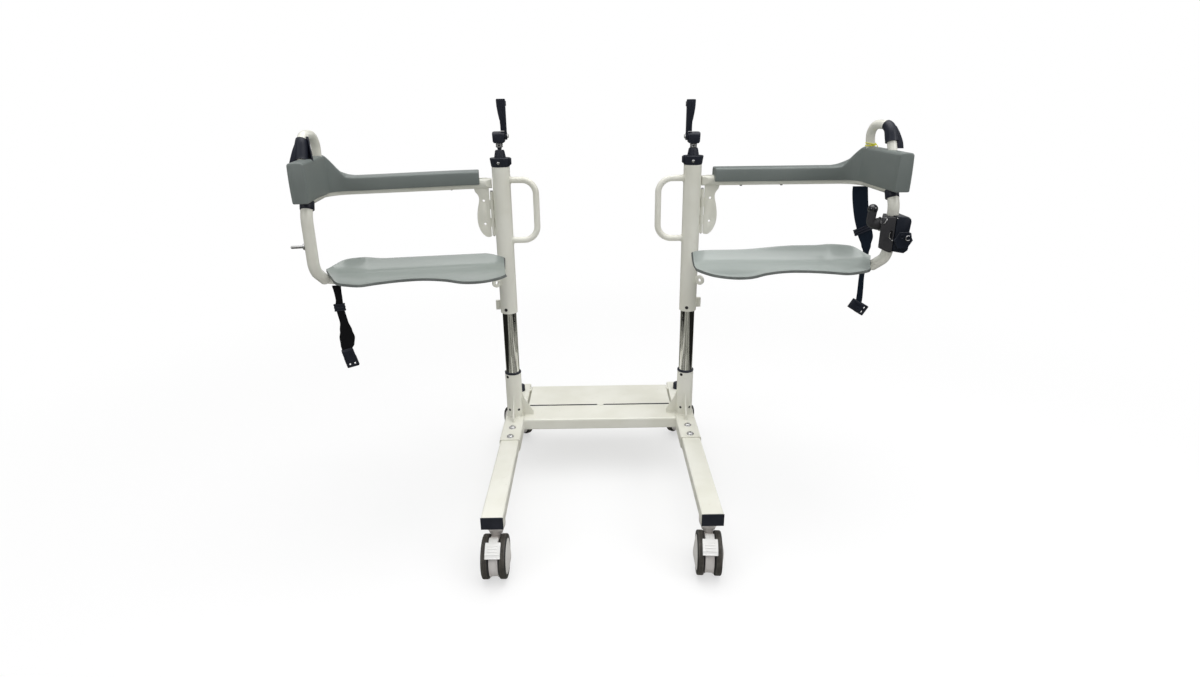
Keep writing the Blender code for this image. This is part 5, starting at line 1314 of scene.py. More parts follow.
for side_name, side in SIDES.items():
    points = []
    run = 0.0
    corner_start = bend_centre.x - 0.028
    for index, (centre, turn, inset) in enumerate(PAD_LINE):
        if index:
            run += (centre - PAD_LINE[index - 1][0]).length
        rise = smooth_share(run, corner_start - 0.012, corner_start + 0.085)
        slim = smooth_share(run, corner_start, corner_start + 0.09)
        half = PAD_HALF_ARM + (PAD_HALF_BACK - PAD_HALF_ARM) * slim
        top = PAD_TOP_ARM + (PAD_TOP_BACK - PAD_TOP_ARM) * rise
        sagging = smooth_share(run, 0.0, corner_start + 0.03)
        held = smooth_share(run, corner_start + 0.08, corner_start + 0.22)
        droop = SAG[side] * sagging * (1 - held)
        bottom = PAD_BOTTOM - droop
        points += pad_ring(side, centre, turn, half, bottom, top - droop * (1 - rise), inset)
    count = len(points) // len(PAD_LINE)
    faces = [tuple(range(count))[::-1], tuple(range(len(points) - count, len(points)))]
    for row in range(len(PAD_LINE) - 1):
        for index in range(count):
            here = row * count + index
            beside = row * count + (index + 1) % count
            faces.append((here, beside, beside + count, here + count))
    mesh = bpy.data.meshes.new("pad")
    mesh.from_pydata(points, [], faces)
    pad = shown(mesh)
    facing_out(pad)
    cut(pad, frame_tube(side, TUBE_RADIUS + 0.0002), bent(loop_path(side), LOOP_RADIUS + 0.0002))
    wing_fit(pad, side_name, "foam_pad", pad_skin, "arm_pad", 40)
    collar_top = on_wing(side, CORNER_R + 0.0012, 0.1965, 0.8250)
    collar_end = on_wing(side, CORNER_R + 0.0018, 0.2045, 0.8070)
    collar = lay(turned(PAD_COLLAR, 48, True), collar_top, collar_end - collar_top)
    wing_fit(collar, side_name, "pad_collar", black_nylon)
    for number, r in enumerate(PAD_SCREWS_R):
        screw = lay(turned(PAD_SCREW, 24), on_wing(side, r, ARM_S, ARM_Z - 0.0134), (0, 0, -1))
        wing_fit(screw, side_name, f"pad_screw_{number}", hole_shade_and_dark_screws)


# Each seat half is a dished shell of glossy moulded plastic with a waisted near edge and a raised
# far rim that runs into a ramp at the rear. It lies on its rail. Its rim is painted darker than its
# faces as painted shade on the edge, and the left half is painted a darker tone than the right one
# as painted shade.

FRONT_END = {-1: -0.0187, 1: -0.0320}
REAR_END = 0.3985
FAR_EDGE = 0.065
SEAT_FLOOR = 0.6333
SEAT_WALL = 0.0062
CELLS = (96, 44)
NEAR_EDGE = [
    (-0.035, 0.176), (-0.021, 0.208), (0.0, 0.238), (0.04, 0.260), (0.08, 0.257), (0.12, 0.229),
    (0.16, 0.212), (0.20, 0.207), (0.24, 0.213), (0.28, 0.225), (0.32, 0.242), (0.35, 0.246),
    (0.37, 0.233), (0.39, 0.196), (0.40, 0.172),
]

seat_gloss, shader, place = new_finish("seat_gloss", 0.30, coat=(0.45, 0.12))
broad = place.noise(4.0, 3.0).step(0.35, 0.65)
fine = place.noise(520.0, 4.0, 0.6)
scratch = place.drawn(90.0, 1300.0, 400.0).noise(1.0, 2.0, 0.6).step(0.66, 0.80)
# Painted shade: the left half takes a darker tone than the right one.
right_half_unshaded = place.axis("X").step(-0.1, 0.1)
left_painted_shade_tone = broad.tint((0.254, 0.286, 0.266), (0.270, 0.302, 0.282))
tone = right_half_unshaded.tint(left_painted_shade_tone, broad.tint((0.322, 0.360, 0.340), (0.340, 0.378, 0.358)))
tone = (fine * 0.12).tint(tone, (0.270, 0.305, 0.288))
(scratch * 0.05).tint(tone, (0.42, 0.46, 0.44)).into(shader, "Base Color")
(place.noise(30.0, 3.0) * 0.05 + 0.25 + fine * 0.04 + scratch * 0.05).into(shader, "Roughness")
raised(fine, 0.05, shader, 0.0002)

# Painted shade: the seat's rim faces take this dark grey so that the edge stands in shade; the noise
# only mottles it.
seat_rim_painted_shade, shader, place = new_finish("seat_rim_painted_shade", 0.42)
worn = place.noise(60.0, 5.0, 0.6).step(0.40, 0.75)
worn.tint((0.108, 0.120, 0.114), (0.150, 0.165, 0.156)).into(shader, "Base Color")
(place.noise(200.0, 3.0) * 0.16 + 0.36).into(shader, "Roughness")
raised(place.noise(900.0, 3.0), 0.12, shader)


def along_table(table, value):
    """A smooth line through (place, height) pairs."""
    for index in range(len(table) - 1):
        if value <= table[index + 1][0] or index == len(table) - 2:
            break
    (x1, y1), (x2, y2) = table[index], table[index + 1]
    x0, y0 = table[max(index - 1, 0)]
    x3, y3 = table[min(index + 2, len(table) - 1)]
    start_slope = (y2 - y0) / (x2 - x0)
    end_slope = (y3 - y1) / (x3 - x1)
    span = x2 - x1
    t = (value - x1) / span
    return (
        (2 * t ** 3 - 3 * t * t + 1) * y1 + (t ** 3 - 2 * t * t + t) * span * start_slope
        + (3 * t * t - 2 * t ** 3) * y2 + (t ** 3 - t * t) * span * end_slope
    )


def seat_edges(side, r):
    """Far and near edges of the seat half, and the height of its far rim, at a place along it."""
    near = along_table(NEAR_EDGE, r)
    far = FAR_EDGE
    if r < 0.01:
        far += 0.020 * ((0.01 - r) / (0.01 - FRONT_END[side])) ** 2
    if r > 0.315:
        far += 0.080 * ((r - 0.315) / (REAR_END - 0.315)) ** 1.25
    if side < 0:
        rim = 0.027 + 0.010 * smooth_share(r, 0.27, 0.365) - 0.012 * smooth_share(r, 0.360, 0.402)
        rim -= 0.008 * smooth_share(-r, -0.03, 0.02)
    else:
        rim = 0.027 + 0.009 * smooth_share(r, 0.08, 0.235) + 0.006 * smooth_share(r, 0.28, 0.365)
        rim -= 0.017 * smooth_share(r, 0.360, 0.402)
    return far, near, rim


def seat_height(r, from_far, from_near, far_rim):
    """Height of the upper face: a dished floor with a raised far rim and a rear ramp."""
    rear = 0.018 * smooth_share(r, 0.300, 0.396)
    far = (far_rim - rear) * max(0.0, 1 - from_far / 0.046) ** 2.1
    near = 0.0070 * max(0.0, 1 - from_near / 0.055) ** 2 * (1 - smooth_share(r, 0.33, 0.39))
    return SEAT_FLOOR + rear + far + near


for side_name, side in SIDES.items():
    bpy.ops.object.select_all(action="DESELECT")
    bpy.ops.mesh.primitive_grid_add(x_subdivisions=CELLS[0], y_subdivisions=CELLS[1], size=2)
    seat = bpy.context.object
    for vertex in seat.data.vertices:
        r = FRONT_END[side] + (REAR_END - FRONT_END[side]) * (1 + vertex.co.x) / 2
        far, near, rim = seat_edges(side, r)
        share = (1 - vertex.co.y) / 2
        s = far + (near - far) * share
        pointed = r - 0.013 * share * smooth_share(r, 0.34, REAR_END)
        vertex.co = on_wing(side, pointed, s, seat_height(r, s - far, near - s, rim))
    facing_out(seat)
    upright = seat.data.polygons[len(seat.data.polygons) // 2].normal.z > 0
    # The rim faces that the solidify makes take the second finish, the dark painted shade.
    seat.data.materials.append(seat_gloss)
    seat.data.materials.append(seat_rim_painted_shade)
    modified(
        seat, "SOLIDIFY", thickness=SEAT_WALL, offset=-1.0 if upright else 1.0,
        material_offset_rim=1,
    )
    modified(
        seat, "BEVEL", width=0.0019, segments=3, limit_method="ANGLE",
        angle_limit=math.radians(50),
    )
    wing_fit(seat, side_name, "seat_shell", None, "seat_half", 40)


# The belts are woven webbing: the right one wide and navy, hanging behind the seat from the arm
# tube through a slider, the left one black, from the end of the rear tube. Both end in a buckle.

LEVEL = (1, 0, 0)
RIB_PITCH = 0.0017
PICK_PITCH = 0.0022
BUCKLE_RIM = 0.0050
BUCKLE_PANEL = 0.0006
BUCKLE_DEPTH = 0.0008
LEFT_WAY = ((-0.22, 0.0, -0.975), (0.975, 0.0, -0.22))
RIGHT_WAY = ((0.86, 0.0, -0.51), (0.51, 0.0, 0.86))
LEFT_BELT = [
    ((0.3848, 0.130, 0.6138), 0.0205, LEVEL), ((0.3836, 0.130, 0.592), 0.0168, LEVEL),
    ((0.3833, 0.130, 0.577), 0.0160, LEVEL), ((0.3846, 0.130, 0.558), 0.0190, LEVEL),
    ((0.3800, 0.130, 0.523), 0.0195, LEVEL), ((0.3780, 0.130, 0.499), 0.0290, LEVEL),
    ((0.3778, 0.130, 0.480), 0.0365, LEVEL), ((0.3795, 0.130, 0.462), 0.0330, LEVEL),
    ((0.3815, 0.130, 0.449), 0.0260, LEFT_WAY[1]),
]
RIGHT_BELT = [
    ((0.3936, 0.040, 0.8132), 0.0385, LEVEL), ((0.3950, 0.041, 0.795), 0.0400, LEVEL),
    ((0.3990, 0.042, 0.768), 0.0400, LEVEL), ((0.4070, 0.043, 0.732), 0.0395, LEVEL),
    ((0.4205, 0.044, 0.690), 0.0390, LEVEL), ((0.4255, 0.045, 0.662), 0.0250, LEVEL),
    ((0.4270, 0.046, 0.640), 0.0150, LEVEL), ((0.4230, 0.048, 0.585), 0.0130, (1, 0.3, 0)),
    ((0.4232, 0.050, 0.545), 0.0145, (1, 0.2, 0)), ((0.4238, 0.049, 0.515), 0.0165, LEVEL),
    ((0.4215, 0.047, 0.500), 0.0180, LEVEL),
]
CLIP_AT = {"left": (0.3775, 0.130, 0.4250), "right": (0.4250, 0.0455, 0.4945)}
SLIDER_AT = {"left": (0.3845, 0.130, 0.5585), "right": (0.4140, 0.0437, 0.7035)}
SLIDER_TURN = {"left": (0.99, 0.0, -0.05), "right": (0.92, 0.0, 0.39)}
SLIDER_SIZE = {"left": (0.026, 0.018), "right": (0.050, 0.016)}


def webbing(name, dark, light):
    finish, shader, place = new_finish(name, 0.80, specular=0.12)
    cloth = place.node("UVMap", {"uv_map": "weave"})
    u = cloth.axis("X")
    v = cloth.axis("Y")
    ribs = cloth.math("SINE", u * (math.tau / RIB_PITCH)) * 0.5 + 0.5
    twill = v * (math.tau / PICK_PITCH) + u * (math.tau / (2 * RIB_PITCH))
    picks = cloth.math("SINE", twill) * 0.5 + 0.5
    weave = ribs * 0.55 + picks * 0.45
    fuzz = place.noise(260.0, 4.0, 0.65)
    lit = (weave * 0.75 + fuzz * 0.35).step(0.15, 0.95)
    lit.tint(dark, light).into(shader, "Base Color")
    (fuzz * 0.20 + 0.62).into(shader, "Roughness")
    raised(weave * 0.8 + fuzz * 0.2, 0.45, shader, 0.0006)
    return finish


def oriented(side, centre, along, across):
    """A matrix at a place on the wing: X across, Z along, Y the face."""
    down = on_wing(side, *along).normalized()
    wide = on_wing(side, *across).normalized()
    front = down.cross(wide).normalized()
    turned_to = Matrix((front.cross(down), front, down)).transposed().to_4x4()
    return Matrix.Translation(on_wing(side, *centre)) @ turned_to


def buckle_parts():
    """A side-release buckle about the origin, its strap end at -Z and its open end at +Z."""
    shell = block((-0.0140, -0.0056, -0.0235), (0.0140, 0.0056, 0.0130), 0.0032)
    pressed_in(shell, (0, -1, 0), [BUCKLE_RIM, BUCKLE_PANEL], BUCKLE_DEPTH)
    pressed_in(shell, (0, 1, 0), [BUCKLE_RIM, BUCKLE_PANEL], BUCKLE_DEPTH)
    pieces = [shell]
    for x in (-0.0118, 0.0118):
        low_end = (x - 0.0030, -0.0042, -0.0040)
        pieces.append(block(low_end, (x + 0.0030, 0.0042, 0.0235), 0.0018))
    pieces.append(block((-0.0040, -0.0030, 0.0080), (0.0040, 0.0030, 0.0200), 0.0014))
    pieces.append(block((-0.0145, -0.0036, 0.0180), (0.0145, 0.0036, 0.0238), 0.0016))
    pieces.append(bar((-0.0135, 0, -0.0225), (0.0135, 0, -0.0225), 0.0034, sides=20))
    return joined(*pieces)


def slider_parts(width, height):
    """A ladder slider about the origin: a frame with a bar across it."""
    half = width / 2
    tall = height / 2
    pieces = [block((-half, -0.0022, -tall), (half, 0.0022, tall), 0.0016)]
    for z in (-tall + 0.0016, 0.0, tall - 0.0016):
        for y in (-0.0021, 0.0021):
            pieces.append(bar((-half, y, z), (half, y, z), 0.0018, sides=16))
    return joined(*pieces)


navy_webbing = webbing("navy_webbing", (0.0035, 0.0075, 0.0150), (0.0095, 0.0170, 0.0300))
black_webbing = webbing("black_webbing", (0.0035, 0.0035, 0.0042), (0.0105, 0.0105, 0.0125))
for side_name, stations, finish, (along, across) in (
    ("right", RIGHT_BELT, navy_webbing, RIGHT_WAY), ("left", LEFT_BELT, black_webbing, LEFT_WAY),
):
    side = SIDES[side_name]
    wing_fit(strap(side, stations), side_name, "webbing", finish, "belt", 40)
    buckle = put(buckle_parts(), oriented(side, CLIP_AT[side_name], along, across))
    wing_fit(buckle, side_name, "clip", black_nylon, "buckle", 40)
    level = SLIDER_TURN[side_name]
    down = Vector(level).cross(Vector((0, 1, 0)))
    spot = oriented(side, SLIDER_AT[side_name], down, level)
    slider = put(slider_parts(*SLIDER_SIZE[side_name]), spot)
    wing_fit(slider, side_name, "slider", black_nylon, angle=40)


# The latch is a split nylon clamp on the right rear tube: a dark grey inner half and a black outer
# half with a hexagon boss. A turning lever with a ball knob works it. The left tube has its pin.

RIGHT_WING = WING["right"]
LATCH_S = 0.217
LEVER_AT = Vector((0.3800, -0.215, 0.750))
BALL_AT = Vector((0.3588, -0.215, 0.7845))
BALL_RADIUS = 0.0114
STRIKER_Z = 0.727
STRIKER = [(0.0033, 0.0), (0.0033, 0.0275), (0.0029, 0.0290), (0.0020, 0.0298)]
OUTWARD = (1, 0, 0)
INWARD = (-1, 0, 0)
REARWARD = (0, -1, 0)
INNER_LINE = [
    (0.4031, 0.7695), (0.3840, 0.7705), (0.3750, 0.7670), (0.3715, 0.7600), (0.3715, 0.7060),
    (0.3775, 0.6970), (0.3950, 0.6890), (0.4031, 0.6885),
]
OUTER_LINE = [
    (0.4039, 0.7715), (0.4315, 0.7700), (0.4370, 0.7655), (0.4388, 0.7595), (0.4374, 0.7400),
    (0.4380, 0.7100), (0.4402, 0.6990), (0.4388, 0.6930), (0.4305, 0.6868), (0.4220, 0.6880),
    (0.4039, 0.6915),
]
BOSS = [(0.0140, 0.0), (0.0146, 0.0008), (0.0146, 0.0190), (0.0136, 0.0200)]
NUT = [(0.0208, 0.0), (0.0222, 0.0010), (0.0222, 0.0046), (0.0208, 0.0058)]
LUG = [(0.0104, 0.0), (0.0110, 0.0006), (0.0110, 0.0076), (0.0098, 0.0086)]
RING_FACE = [
    (0.0030, 0.0), (0.0078, 0.0), (0.0078, 0.0014), (0.0068, 0.0022), (0.0040, 0.0016),
    (0.0030, 0.0),
]
TRIM_WASHER = [
    (0.0030, 0.0), (0.0084, 0.0), (0.0088, 0.0003), (0.0088, 0.0012), (0.0084, 0.0015),
    (0.0030, 0.0015), (0.0030, 0.0),
]
LEVER_WASHER = [
    (0.0062, 0.0), (0.0158, 0.0), (0.0163, 0.0003), (0.0163, 0.0013), (0.0158, 0.0017),
    (0.0062, 0.0017), (0.0062, 0.0),
]
SKIRT = [
    (0.0126, 0.0021), (0.0138, 0.0029), (0.0140, 0.0060), (0.0130, 0.0110), (0.0114, 0.0160),
    (0.0098, 0.0200),
]
LATCH_SCREWS = (
    (0.3998, 0.7172, 0.0018, -0.2458), (0.3745, 0.7385, 0.0030, -0.2400),
    (0.3738, 0.7328, 0.0024, -0.2395),
)


def moulded(name, first, second, roughness):
    finish, shader, place = new_finish(name, roughness, specular=0.30)
    cloudy = place.noise(45.0, 4.0).step(0.3, 0.7)
    rubbed = place.noise(130.0, 5.0, 0.65).step(0.62, 0.82)
    shine = tuple(3.2 * level for level in second)
    (rubbed * 0.25).tint(cloudy.tint(first, second), shine).into(shader, "Base Color")
    grain = place.noise(200.0, 3.0) * 0.16
    (grain + roughness - 0.08 + rubbed * 0.08).into(shader, "Roughness")
    raised(place.noise(1100.0, 2.0), 0.22, shader)
    return finish


def highlight_arc(centre, radius, start, end, thick, squeeze=1.0):
    """A painted highlight: a thin bright steel arc, only the part of a ring where a crescent of
    light shows, on a face turned to the rear.
    """
    arc = curve_corner((0, 0), radius, start, end, 18)
    return bent([Vector(centre) + Vector((squeeze * x, 0, z)) for x, z in arc], thick, 3)


grey_nylon = moulded("grey_nylon", (0.030, 0.030, 0.033), (0.042, 0.041, 0.044), 0.50)
navy_nylon = moulded("navy_nylon", (0.0060, 0.0090, 0.0165), (0.0095, 0.0135, 0.0230), 0.42)
through = Matrix.Translation((0, -LATCH_S, 0)) @ ACROSS
inner_half = face_plate([INNER_LINE], 0.058, through, 0.0026)
wedge = block((-0.10, 0.0, -0.08), (0.10, 0.06, 0.08), 0.001)
sloped = Matrix.Rotation(math.radians(64.8), 4, "Z")
put(wedge, Matrix.Translation((0.38375, -0.214, 0.730)) @ sloped)
slot_tool = block((0.3915, -0.2490, 0.7205), (0.3985, -0.2405, 0.7400), 0.0028)
cut(inner_half, wedge, slot_tool)
boss = lay(turned(BOSS, 48), (0.4000, -0.215, 0.750), INWARD)
cut(joined(inner_half, boss), frame_tube(1, TUBE_RADIUS + 0.0003))
put(inner_half, RIGHT_WING)
fit(inner_half, "latch_inner_half", grey_nylon, "right_wing", ["latch_body"], 40)

outer_half = face_plate([OUTER_LINE], 0.060, through, 0.0028)
cut(outer_half, frame_tube(1, TUBE_RADIUS + 0.0003))
small_face = [(radius * 0.66, height) for radius, height in RING_FACE]
nut = put(turned(NUT, 6), Matrix.Rotation(math.radians(90), 4, "Z"))
outer_half = joined(
    outer_half,
    lay(nut, (0.4238, -0.2445, 0.7175), REARWARD),
    lay(turned(RING_FACE, 40, True), (0.4334, -0.2500, 0.7230), REARWARD),
    lay(turned(small_face, 32, True), (0.4195, -0.2500, 0.7268), REARWARD),
    lay(turned(LUG, 6), (0.4395, -0.228, 0.722), OUTWARD),
)
put(outer_half, RIGHT_WING)
fit(outer_half, "latch_outer_half", navy_nylon, "right_wing", angle=40)

# Painted highlights: the four arcs below are bright steel laid only where crescents of light fall on
# the latch; the washer and screws are real.
parts = [
    highlight_arc((0.3952, -0.2466, 0.7290), 0.0078, 120, 262, 0.0009, 0.55),
    highlight_arc((0.4334, -0.2519, 0.7230), 0.0056, 70, 300, 0.0010),
    highlight_arc((0.4195, -0.2512, 0.7268), 0.0042, 150, 330, 0.0007),
    highlight_arc((0.3985, -0.2462, 0.7600), 0.0105, -22, 60, 0.0008),
    lay(turned(TRIM_WASHER, 40, True), (0.3772, -0.2405, 0.7620), (-0.80, -0.30, 0.52)),
]
for x, z, radius, depth in LATCH_SCREWS:
    stations = [
        (radius * 0.9, 0.0), (radius, 0.0006), (radius * 0.85, 0.0014), (radius * 0.5, 0.0017),
        (radius * 0.4, 0.0008),
    ]
    parts.append(lay(turned(stations, 24), (x, depth, z), (-0.35, -0.93, 0)))
fit(put(joined(*parts), RIGHT_WING), "latch_screws_and_highlight_arcs", zinc, "right_wing")
washer = put(lay(turned(LEVER_WASHER, 44, True), LEVER_AT, INWARD), RIGHT_WING)
fit(washer, "lever_washer", zinc, "right_wing")

elbow = rounded_path([
    LEVER_AT + Vector((-0.008, 0, 0)), LEVER_AT + Vector((-0.0235, 0, 0)),
    BALL_AT + Vector((0, 0, -0.004)),
], (0.008,), 8)
arm = joined(
    bent(elbow, 0.0100, 7),
    lay(turned(SKIRT, 44), LEVER_AT, INWARD),
    lay(turned([(0.0054, -0.002), (0.0054, 0.010)], 28), LEVER_AT, INWARD),
)
put(arm, RIGHT_WING)
fit(arm, "lever_arm", grey_nylon, "latch_lever", ["latch_lever"], 50)

gloss_black, shader, place = new_finish("gloss_black", 0.12, coat=(0.6, 0.05))
dark = place.noise(70.0, 3.0)
dark.tint((0.006, 0.007, 0.010), (0.012, 0.013, 0.018)).into(shader, "Base Color")
(place.noise(240.0, 4.0) * 0.10 + 0.08).into(shader, "Roughness")
raised(place.noise(320.0, 2.0), 0.03, shader)
ball_line = [(0.0062, -0.0112)]
for degrees in range(36, 176, 9):
    angle = math.radians(degrees)
    ball_line.append((BALL_RADIUS * math.sin(angle), -BALL_RADIUS * math.cos(angle)))
ball = put(put(turned(ball_line, 44), BALL_AT), RIGHT_WING)
fit(ball, "lever_ball", gloss_black, "latch_lever", angle=60)

axis = WING["left"].to_3x3() @ Vector(INWARD)
down_tube = (ARM_Z - STRIKER_Z) / (ARM_Z - REAR_BEND_Z)
rear = Vector(FRAME_CORNERS[2]).lerp(Vector(FRAME_CORNERS[3]), down_tube)
root = WING["left"] @ on_wing(-1, rear.x + 0.0120, rear.y, STRIKER_Z)
striker = joined(
    lay(turned(STRIKER, 32), root, axis),
    lay(turned([(0.0070, 0.0), (0.0070, 0.0032), (0.0062, 0.0040)], 32), root, axis),
)
fit(striker, "striker", zinc, "left_wing", ["striker_pin"])


# The casters are twin-wheel, 100 mm: a light grey nylon housing between two rubber-tyred wheels
# with conical hub covers. The near pair has a white ribbed brake pedal over the wheels' back.

CROSSWISE = Matrix.Rotation(math.radians(90), 4, "Y")
HALF_TURN = Matrix.Rotation(math.radians(180), 4, "X")
WHEEL = 0.050
TRAIL = 0.032
OUTER = 0.0277
INNER = 0.0119
BAND_HALF = 0.0107
BAND_RADIUS = 0.0455
STEM_BEHIND = -0.453
AXLE = Vector((0, -TRAIL, WHEEL))
AT_AXLE = Matrix.Translation(AXLE)
CASTERS = {
    "near_left": ("left", STEM_BEHIND, 0.0, "left_leg"),
    "near_right": ("right", STEM_BEHIND, -5.0, "right_leg"),
    "far_left": ("left", STEM_AHEAD, 213.0, "left_side_rail"),
    "far_right": ("right", STEM_AHEAD, -213.0, "right_side_rail"),
}
HALF_BAND = [
    (0.0080, BAND_HALF), (0.0415, BAND_HALF), (0.0449, BAND_HALF - 0.0004),
    (BAND_RADIUS, BAND_HALF - 0.0009), (BAND_RADIUS, BAND_HALF - 0.0022),
    (0.0440, BAND_HALF - 0.0028), (0.0436, BAND_HALF - 0.0036),
]
BAND = [(radius, -height) for radius, height in HALF_BAND] + HALF_BAND[::-1]
HOUSING_NECK = [
    (0.0219, 0.1120), (0.0207, 0.1112), (0.0207, 0.1080), (0.0200, 0.1072), (0.0188, 0.1066),
    (0.0188, 0.1040), (0.0180, 0.1030), (0.0168, 0.0985), (0.0150, 0.0930), (0.0140, 0.0880),
    (0.0122, 0.0835), (0.0115, 0.0760),
]
TYRE = [
    (0.0385, 0.0131), (0.0440, INNER), (0.0470, INNER), (0.0488, INNER + 0.0007),
    (0.0497, INNER + 0.0022), (WHEEL, INNER + 0.0040), (WHEEL, INNER + 0.0056),
    (0.0492, INNER + 0.0059), (0.0492, INNER + 0.0065), (WHEEL, INNER + 0.0068),
    (WHEEL, INNER + 0.0090), (0.0492, INNER + 0.0093), (0.0492, INNER + 0.0099),
    (WHEEL, INNER + 0.0102), (WHEEL, INNER + 0.0118), (0.0497, INNER + 0.0136),
    (0.0488, INNER + 0.0151), (0.0470, OUTER), (0.0412, OUTER), (0.0404, OUTER - 0.0006),
    (0.0400, OUTER - 0.0016),
]
HUB_COVER = [
    (0.0399, OUTER - 0.0020), (0.0398, OUTER - 0.0004), (0.0390, OUTER + 0.0001),
    (0.0372, OUTER + 0.0005), (0.0366, OUTER + 0.0002), (0.0358, OUTER + 0.0010),
    (0.0300, OUTER + 0.0022), (0.0200, OUTER + 0.0042), (0.0120, OUTER + 0.0059),
    (0.0112, OUTER + 0.0056), (0.0104, OUTER + 0.0062), (0.0060, OUTER + 0.0070),
    (0.0020, OUTER + 0.0075),
]
TREAD_FROM = 0.0485
TREAD_HALF = 0.0062
PEDAL_INSIDE = 0.0522
PEDAL_OUTSIDE = 0.0572


def soiled_plastic(name, roughness, cloud, dirt, tones, grime, gloss, grain):
    """A light plastic: cloudy between two tones, with dirt, and a fine grain. Cloud is a noise's
    scale and detail, dirt a noise's scale and where it starts and ends."""
    finish, shader, place = new_finish(name, roughness)
    soil = place.noise(dirt[0], 6.0, 0.65).step(*dirt[1:])
    tone = place.noise(*cloud).step(0.3, 0.7).tint(*tones)
    (soil * grime[0]).tint(tone, grime[1]).into(shader, "Base Color")
    (place.noise(140.0, 3.0) * gloss[0] + gloss[1]).into(shader, "Roughness")
    raised(place.noise(grain[0], 2.0), grain[1], shader)
    return finish


caster_nylon = soiled_plastic(
    "caster_nylon", 0.46, (24.0, 4.0), (75.0, 0.56, 0.80),
    ((0.660, 0.625, 0.598), (0.735, 0.705, 0.682)), (0.30, (0.36, 0.33, 0.30)),
    (0.18, 0.34), (1000.0, 0.12),
)
pedal_white = soiled_plastic(
    "pedal_white", 0.40, (20.0, 3.0), (90.0, 0.58, 0.82),
    ((0.800, 0.795, 0.775), (0.860, 0.855, 0.840)), (0.22, (0.48, 0.46, 0.42)),
    (0.16, 0.30), (900.0, 0.08),
)
hub_grey = soiled_plastic(
    "hub_grey", 0.38, (16.0, 3.0), (60.0, 0.56, 0.80),
    ((0.660, 0.640, 0.615), (0.730, 0.715, 0.690)), (0.26, (0.42, 0.39, 0.35)),
    (0.16, 0.28), (800.0, 0.08),
)

tread_rubber, shader, place = new_finish("tread_rubber", 0.72)
worn = place.noise(45.0, 5.0, 0.6).step(0.35, 0.7)
dust = place.noise(210.0, 5.0, 0.7).step(0.55, 0.80)
tone = worn.tint((0.045, 0.040, 0.034), (0.085, 0.078, 0.066))
(dust * 0.35).tint(tone, (0.19, 0.175, 0.150)).into(shader, "Base Color")
(place.noise(300.0, 3.0) * 0.16 + 0.60).into(shader, "Roughness")
raised(place.noise(700.0, 4.0, 0.65), 0.30, shader, 0.0004)

wall_rubber, shader, place = new_finish("wall_rubber", 0.55)
worn = place.noise(60.0, 5.0, 0.6).step(0.4, 0.75)
worn.tint((0.012, 0.012, 0.012), (0.030, 0.028, 0.026)).into(shader, "Base Color")
(place.noise(200.0, 3.0) * 0.18 + 0.44).into(shader, "Roughness")
raised(place.noise(900.0, 3.0), 0.15, shader)


def about_axle(degrees, radius, x=0.0):
    """A point about the wheels' axle, from straight ahead up and over to the back."""
    angle = math.radians(degrees)
    return AXLE + Vector((x, radius * math.cos(angle), radius * math.sin(angle)))


def arc_band(outer, inner, start, end, steps):
    """The outline of a band about the axle: its outer arc, then its inner arc back."""
    outer_arc = curve_corner((0, 0), outer, start, end, steps)
    return outer_arc + curve_corner((0, 0), inner, end, start, steps)


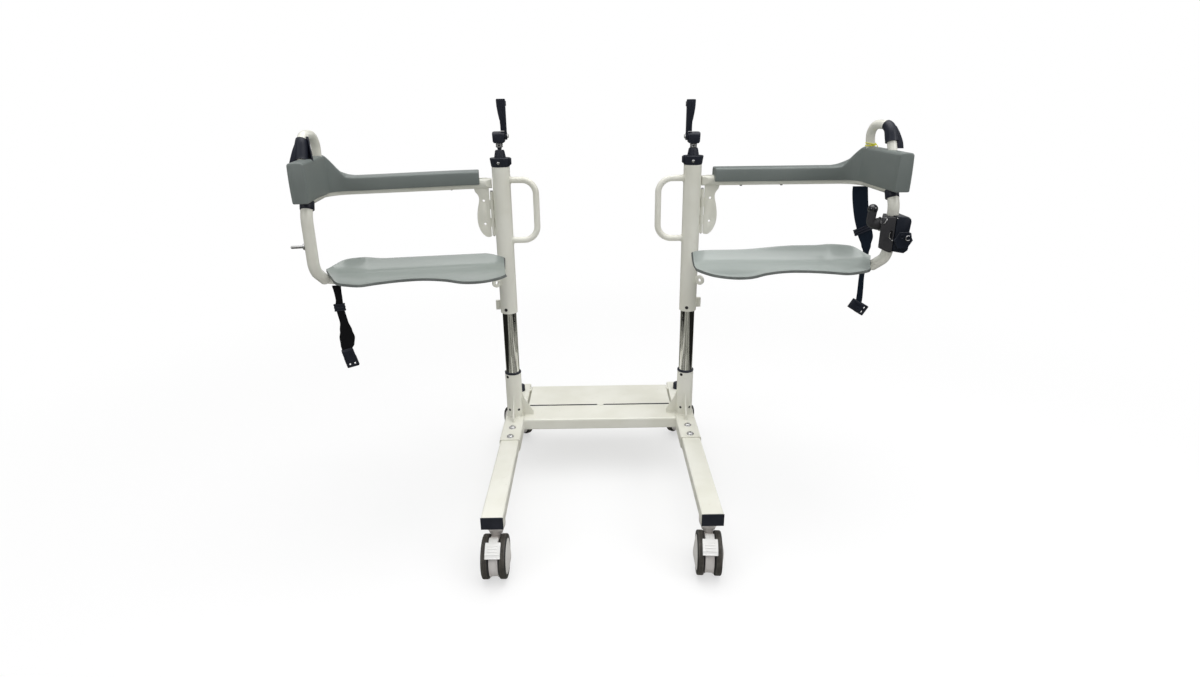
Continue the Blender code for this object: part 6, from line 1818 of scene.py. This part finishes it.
for caster_name, (side_name, forward, turn, carrier) in CASTERS.items():
    swivelled = Matrix.Rotation(math.radians(turn), 4, "Z")
    stem = Matrix.Translation(COLUMN[side_name] + Vector((0, forward, 0))) @ swivelled
    wheel_spot = stem @ AT_AXLE @ CROSSWISE
    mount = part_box(carrier)[0].z - 0.0003
    band = put(turned(BAND, 80), AT_AXLE @ CROSSWISE)
    collar_end = 0.1180 if mount > 0.13 else 0.1100
    collar = [(0.0221, mount), (0.0225, mount - 0.0005), (0.0225, collar_end)]
    head = turned(collar + HOUSING_NECK, 56)
    tools = []
    for way in (-1, 1):
        disc = turned([(WHEEL + 0.0015, 0.0), (WHEEL + 0.0015, 0.030)], 64)
        tools.append(lay(disc, AXLE + Vector((way * (BAND_HALF + 0.0004), 0, 0)), (way, 0, 0)))
    cut(head, *tools)
    housing = put(joined(band, head), stem)
    fit(
        housing, caster_name + "_housing", caster_nylon, caster_name + "_caster",
        [caster_name + "_caster_housing"],
    )

    tyres = [put(turned(TYRE, 80), HALF_TURN), turned(TYRE, 80)]
    covers = [put(turned(HUB_COVER, 72), HALF_TURN), turned(HUB_COVER, 72)]
    rubber = joined(*tyres)
    rubber.data.materials.clear()
    rubber.data.materials.append(wall_rubber)
    rubber.data.materials.append(tread_rubber)
    for face in rubber.data.polygons:
        from_middle = abs(abs(face.center.z) - (INNER + OUTER) / 2)
        on_tread = math.hypot(face.center.x, face.center.y) > TREAD_FROM
        face.material_index = 1 if on_tread and from_middle < TREAD_HALF else 0
    put(rubber, wheel_spot)
    wheels = caster_name + "_wheels"
    fit(rubber, caster_name + "_tyres", None, wheels, [wheels])
    spindle = turned([(0.0056, -0.0300), (0.0056, 0.0300)], 32)
    hubs = put(joined(*covers, spindle), wheel_spot)
    fit(hubs, caster_name + "_hub_covers", hub_grey, wheels)

    if caster_name.startswith("near"):
        at_axle = AT_AXLE @ SIDEWAYS
        wide = curve_corner((0, 0), PEDAL_OUTSIDE, 112, 149, 18)
        wide += curve_corner((0, 0), PEDAL_INSIDE, 150, 112, 18)
        neck = arc_band(PEDAL_OUTSIDE - 0.0003, PEDAL_INSIDE, 98, 116, 9)
        shoe = arc_band(PEDAL_INSIDE + 0.001, 0.0458, 100, 128, 8)
        parts = [
            face_plate([wide], 0.034, at_axle, 0.0010),
            face_plate([neck], 0.020, at_axle, 0.0008),
            face_plate([shoe], 0.012, at_axle, 0.0004),
        ]
        for angles, above, half, thick, edge in (
            ((121.0, 127.0, 133.0), 0.0001, 0.0118, 0.0009, 0.0003),
            ((140.0, 148.0), -0.0002, 0.0160, 0.0013, 0.0004),
        ):
            for degrees in angles:
                start = about_axle(degrees, PEDAL_OUTSIDE + above, -half)
                end = about_axle(degrees, PEDAL_OUTSIDE + above, half)
                parts.append(bar(start, end, thick, sides=16, edge=edge))
        for x in (-0.0066, 0.0, 0.0066):
            fin = [about_axle(degrees, PEDAL_OUTSIDE, x) for degrees in range(99, 117, 3)]
            parts.append(bent(fin, 0.0007, 3))
        fit(
            put(joined(*parts), stem), caster_name + "_pedal_blade", pedal_white,
            caster_name + "_pedal", [caster_name + "_brake_pedal"],
        )
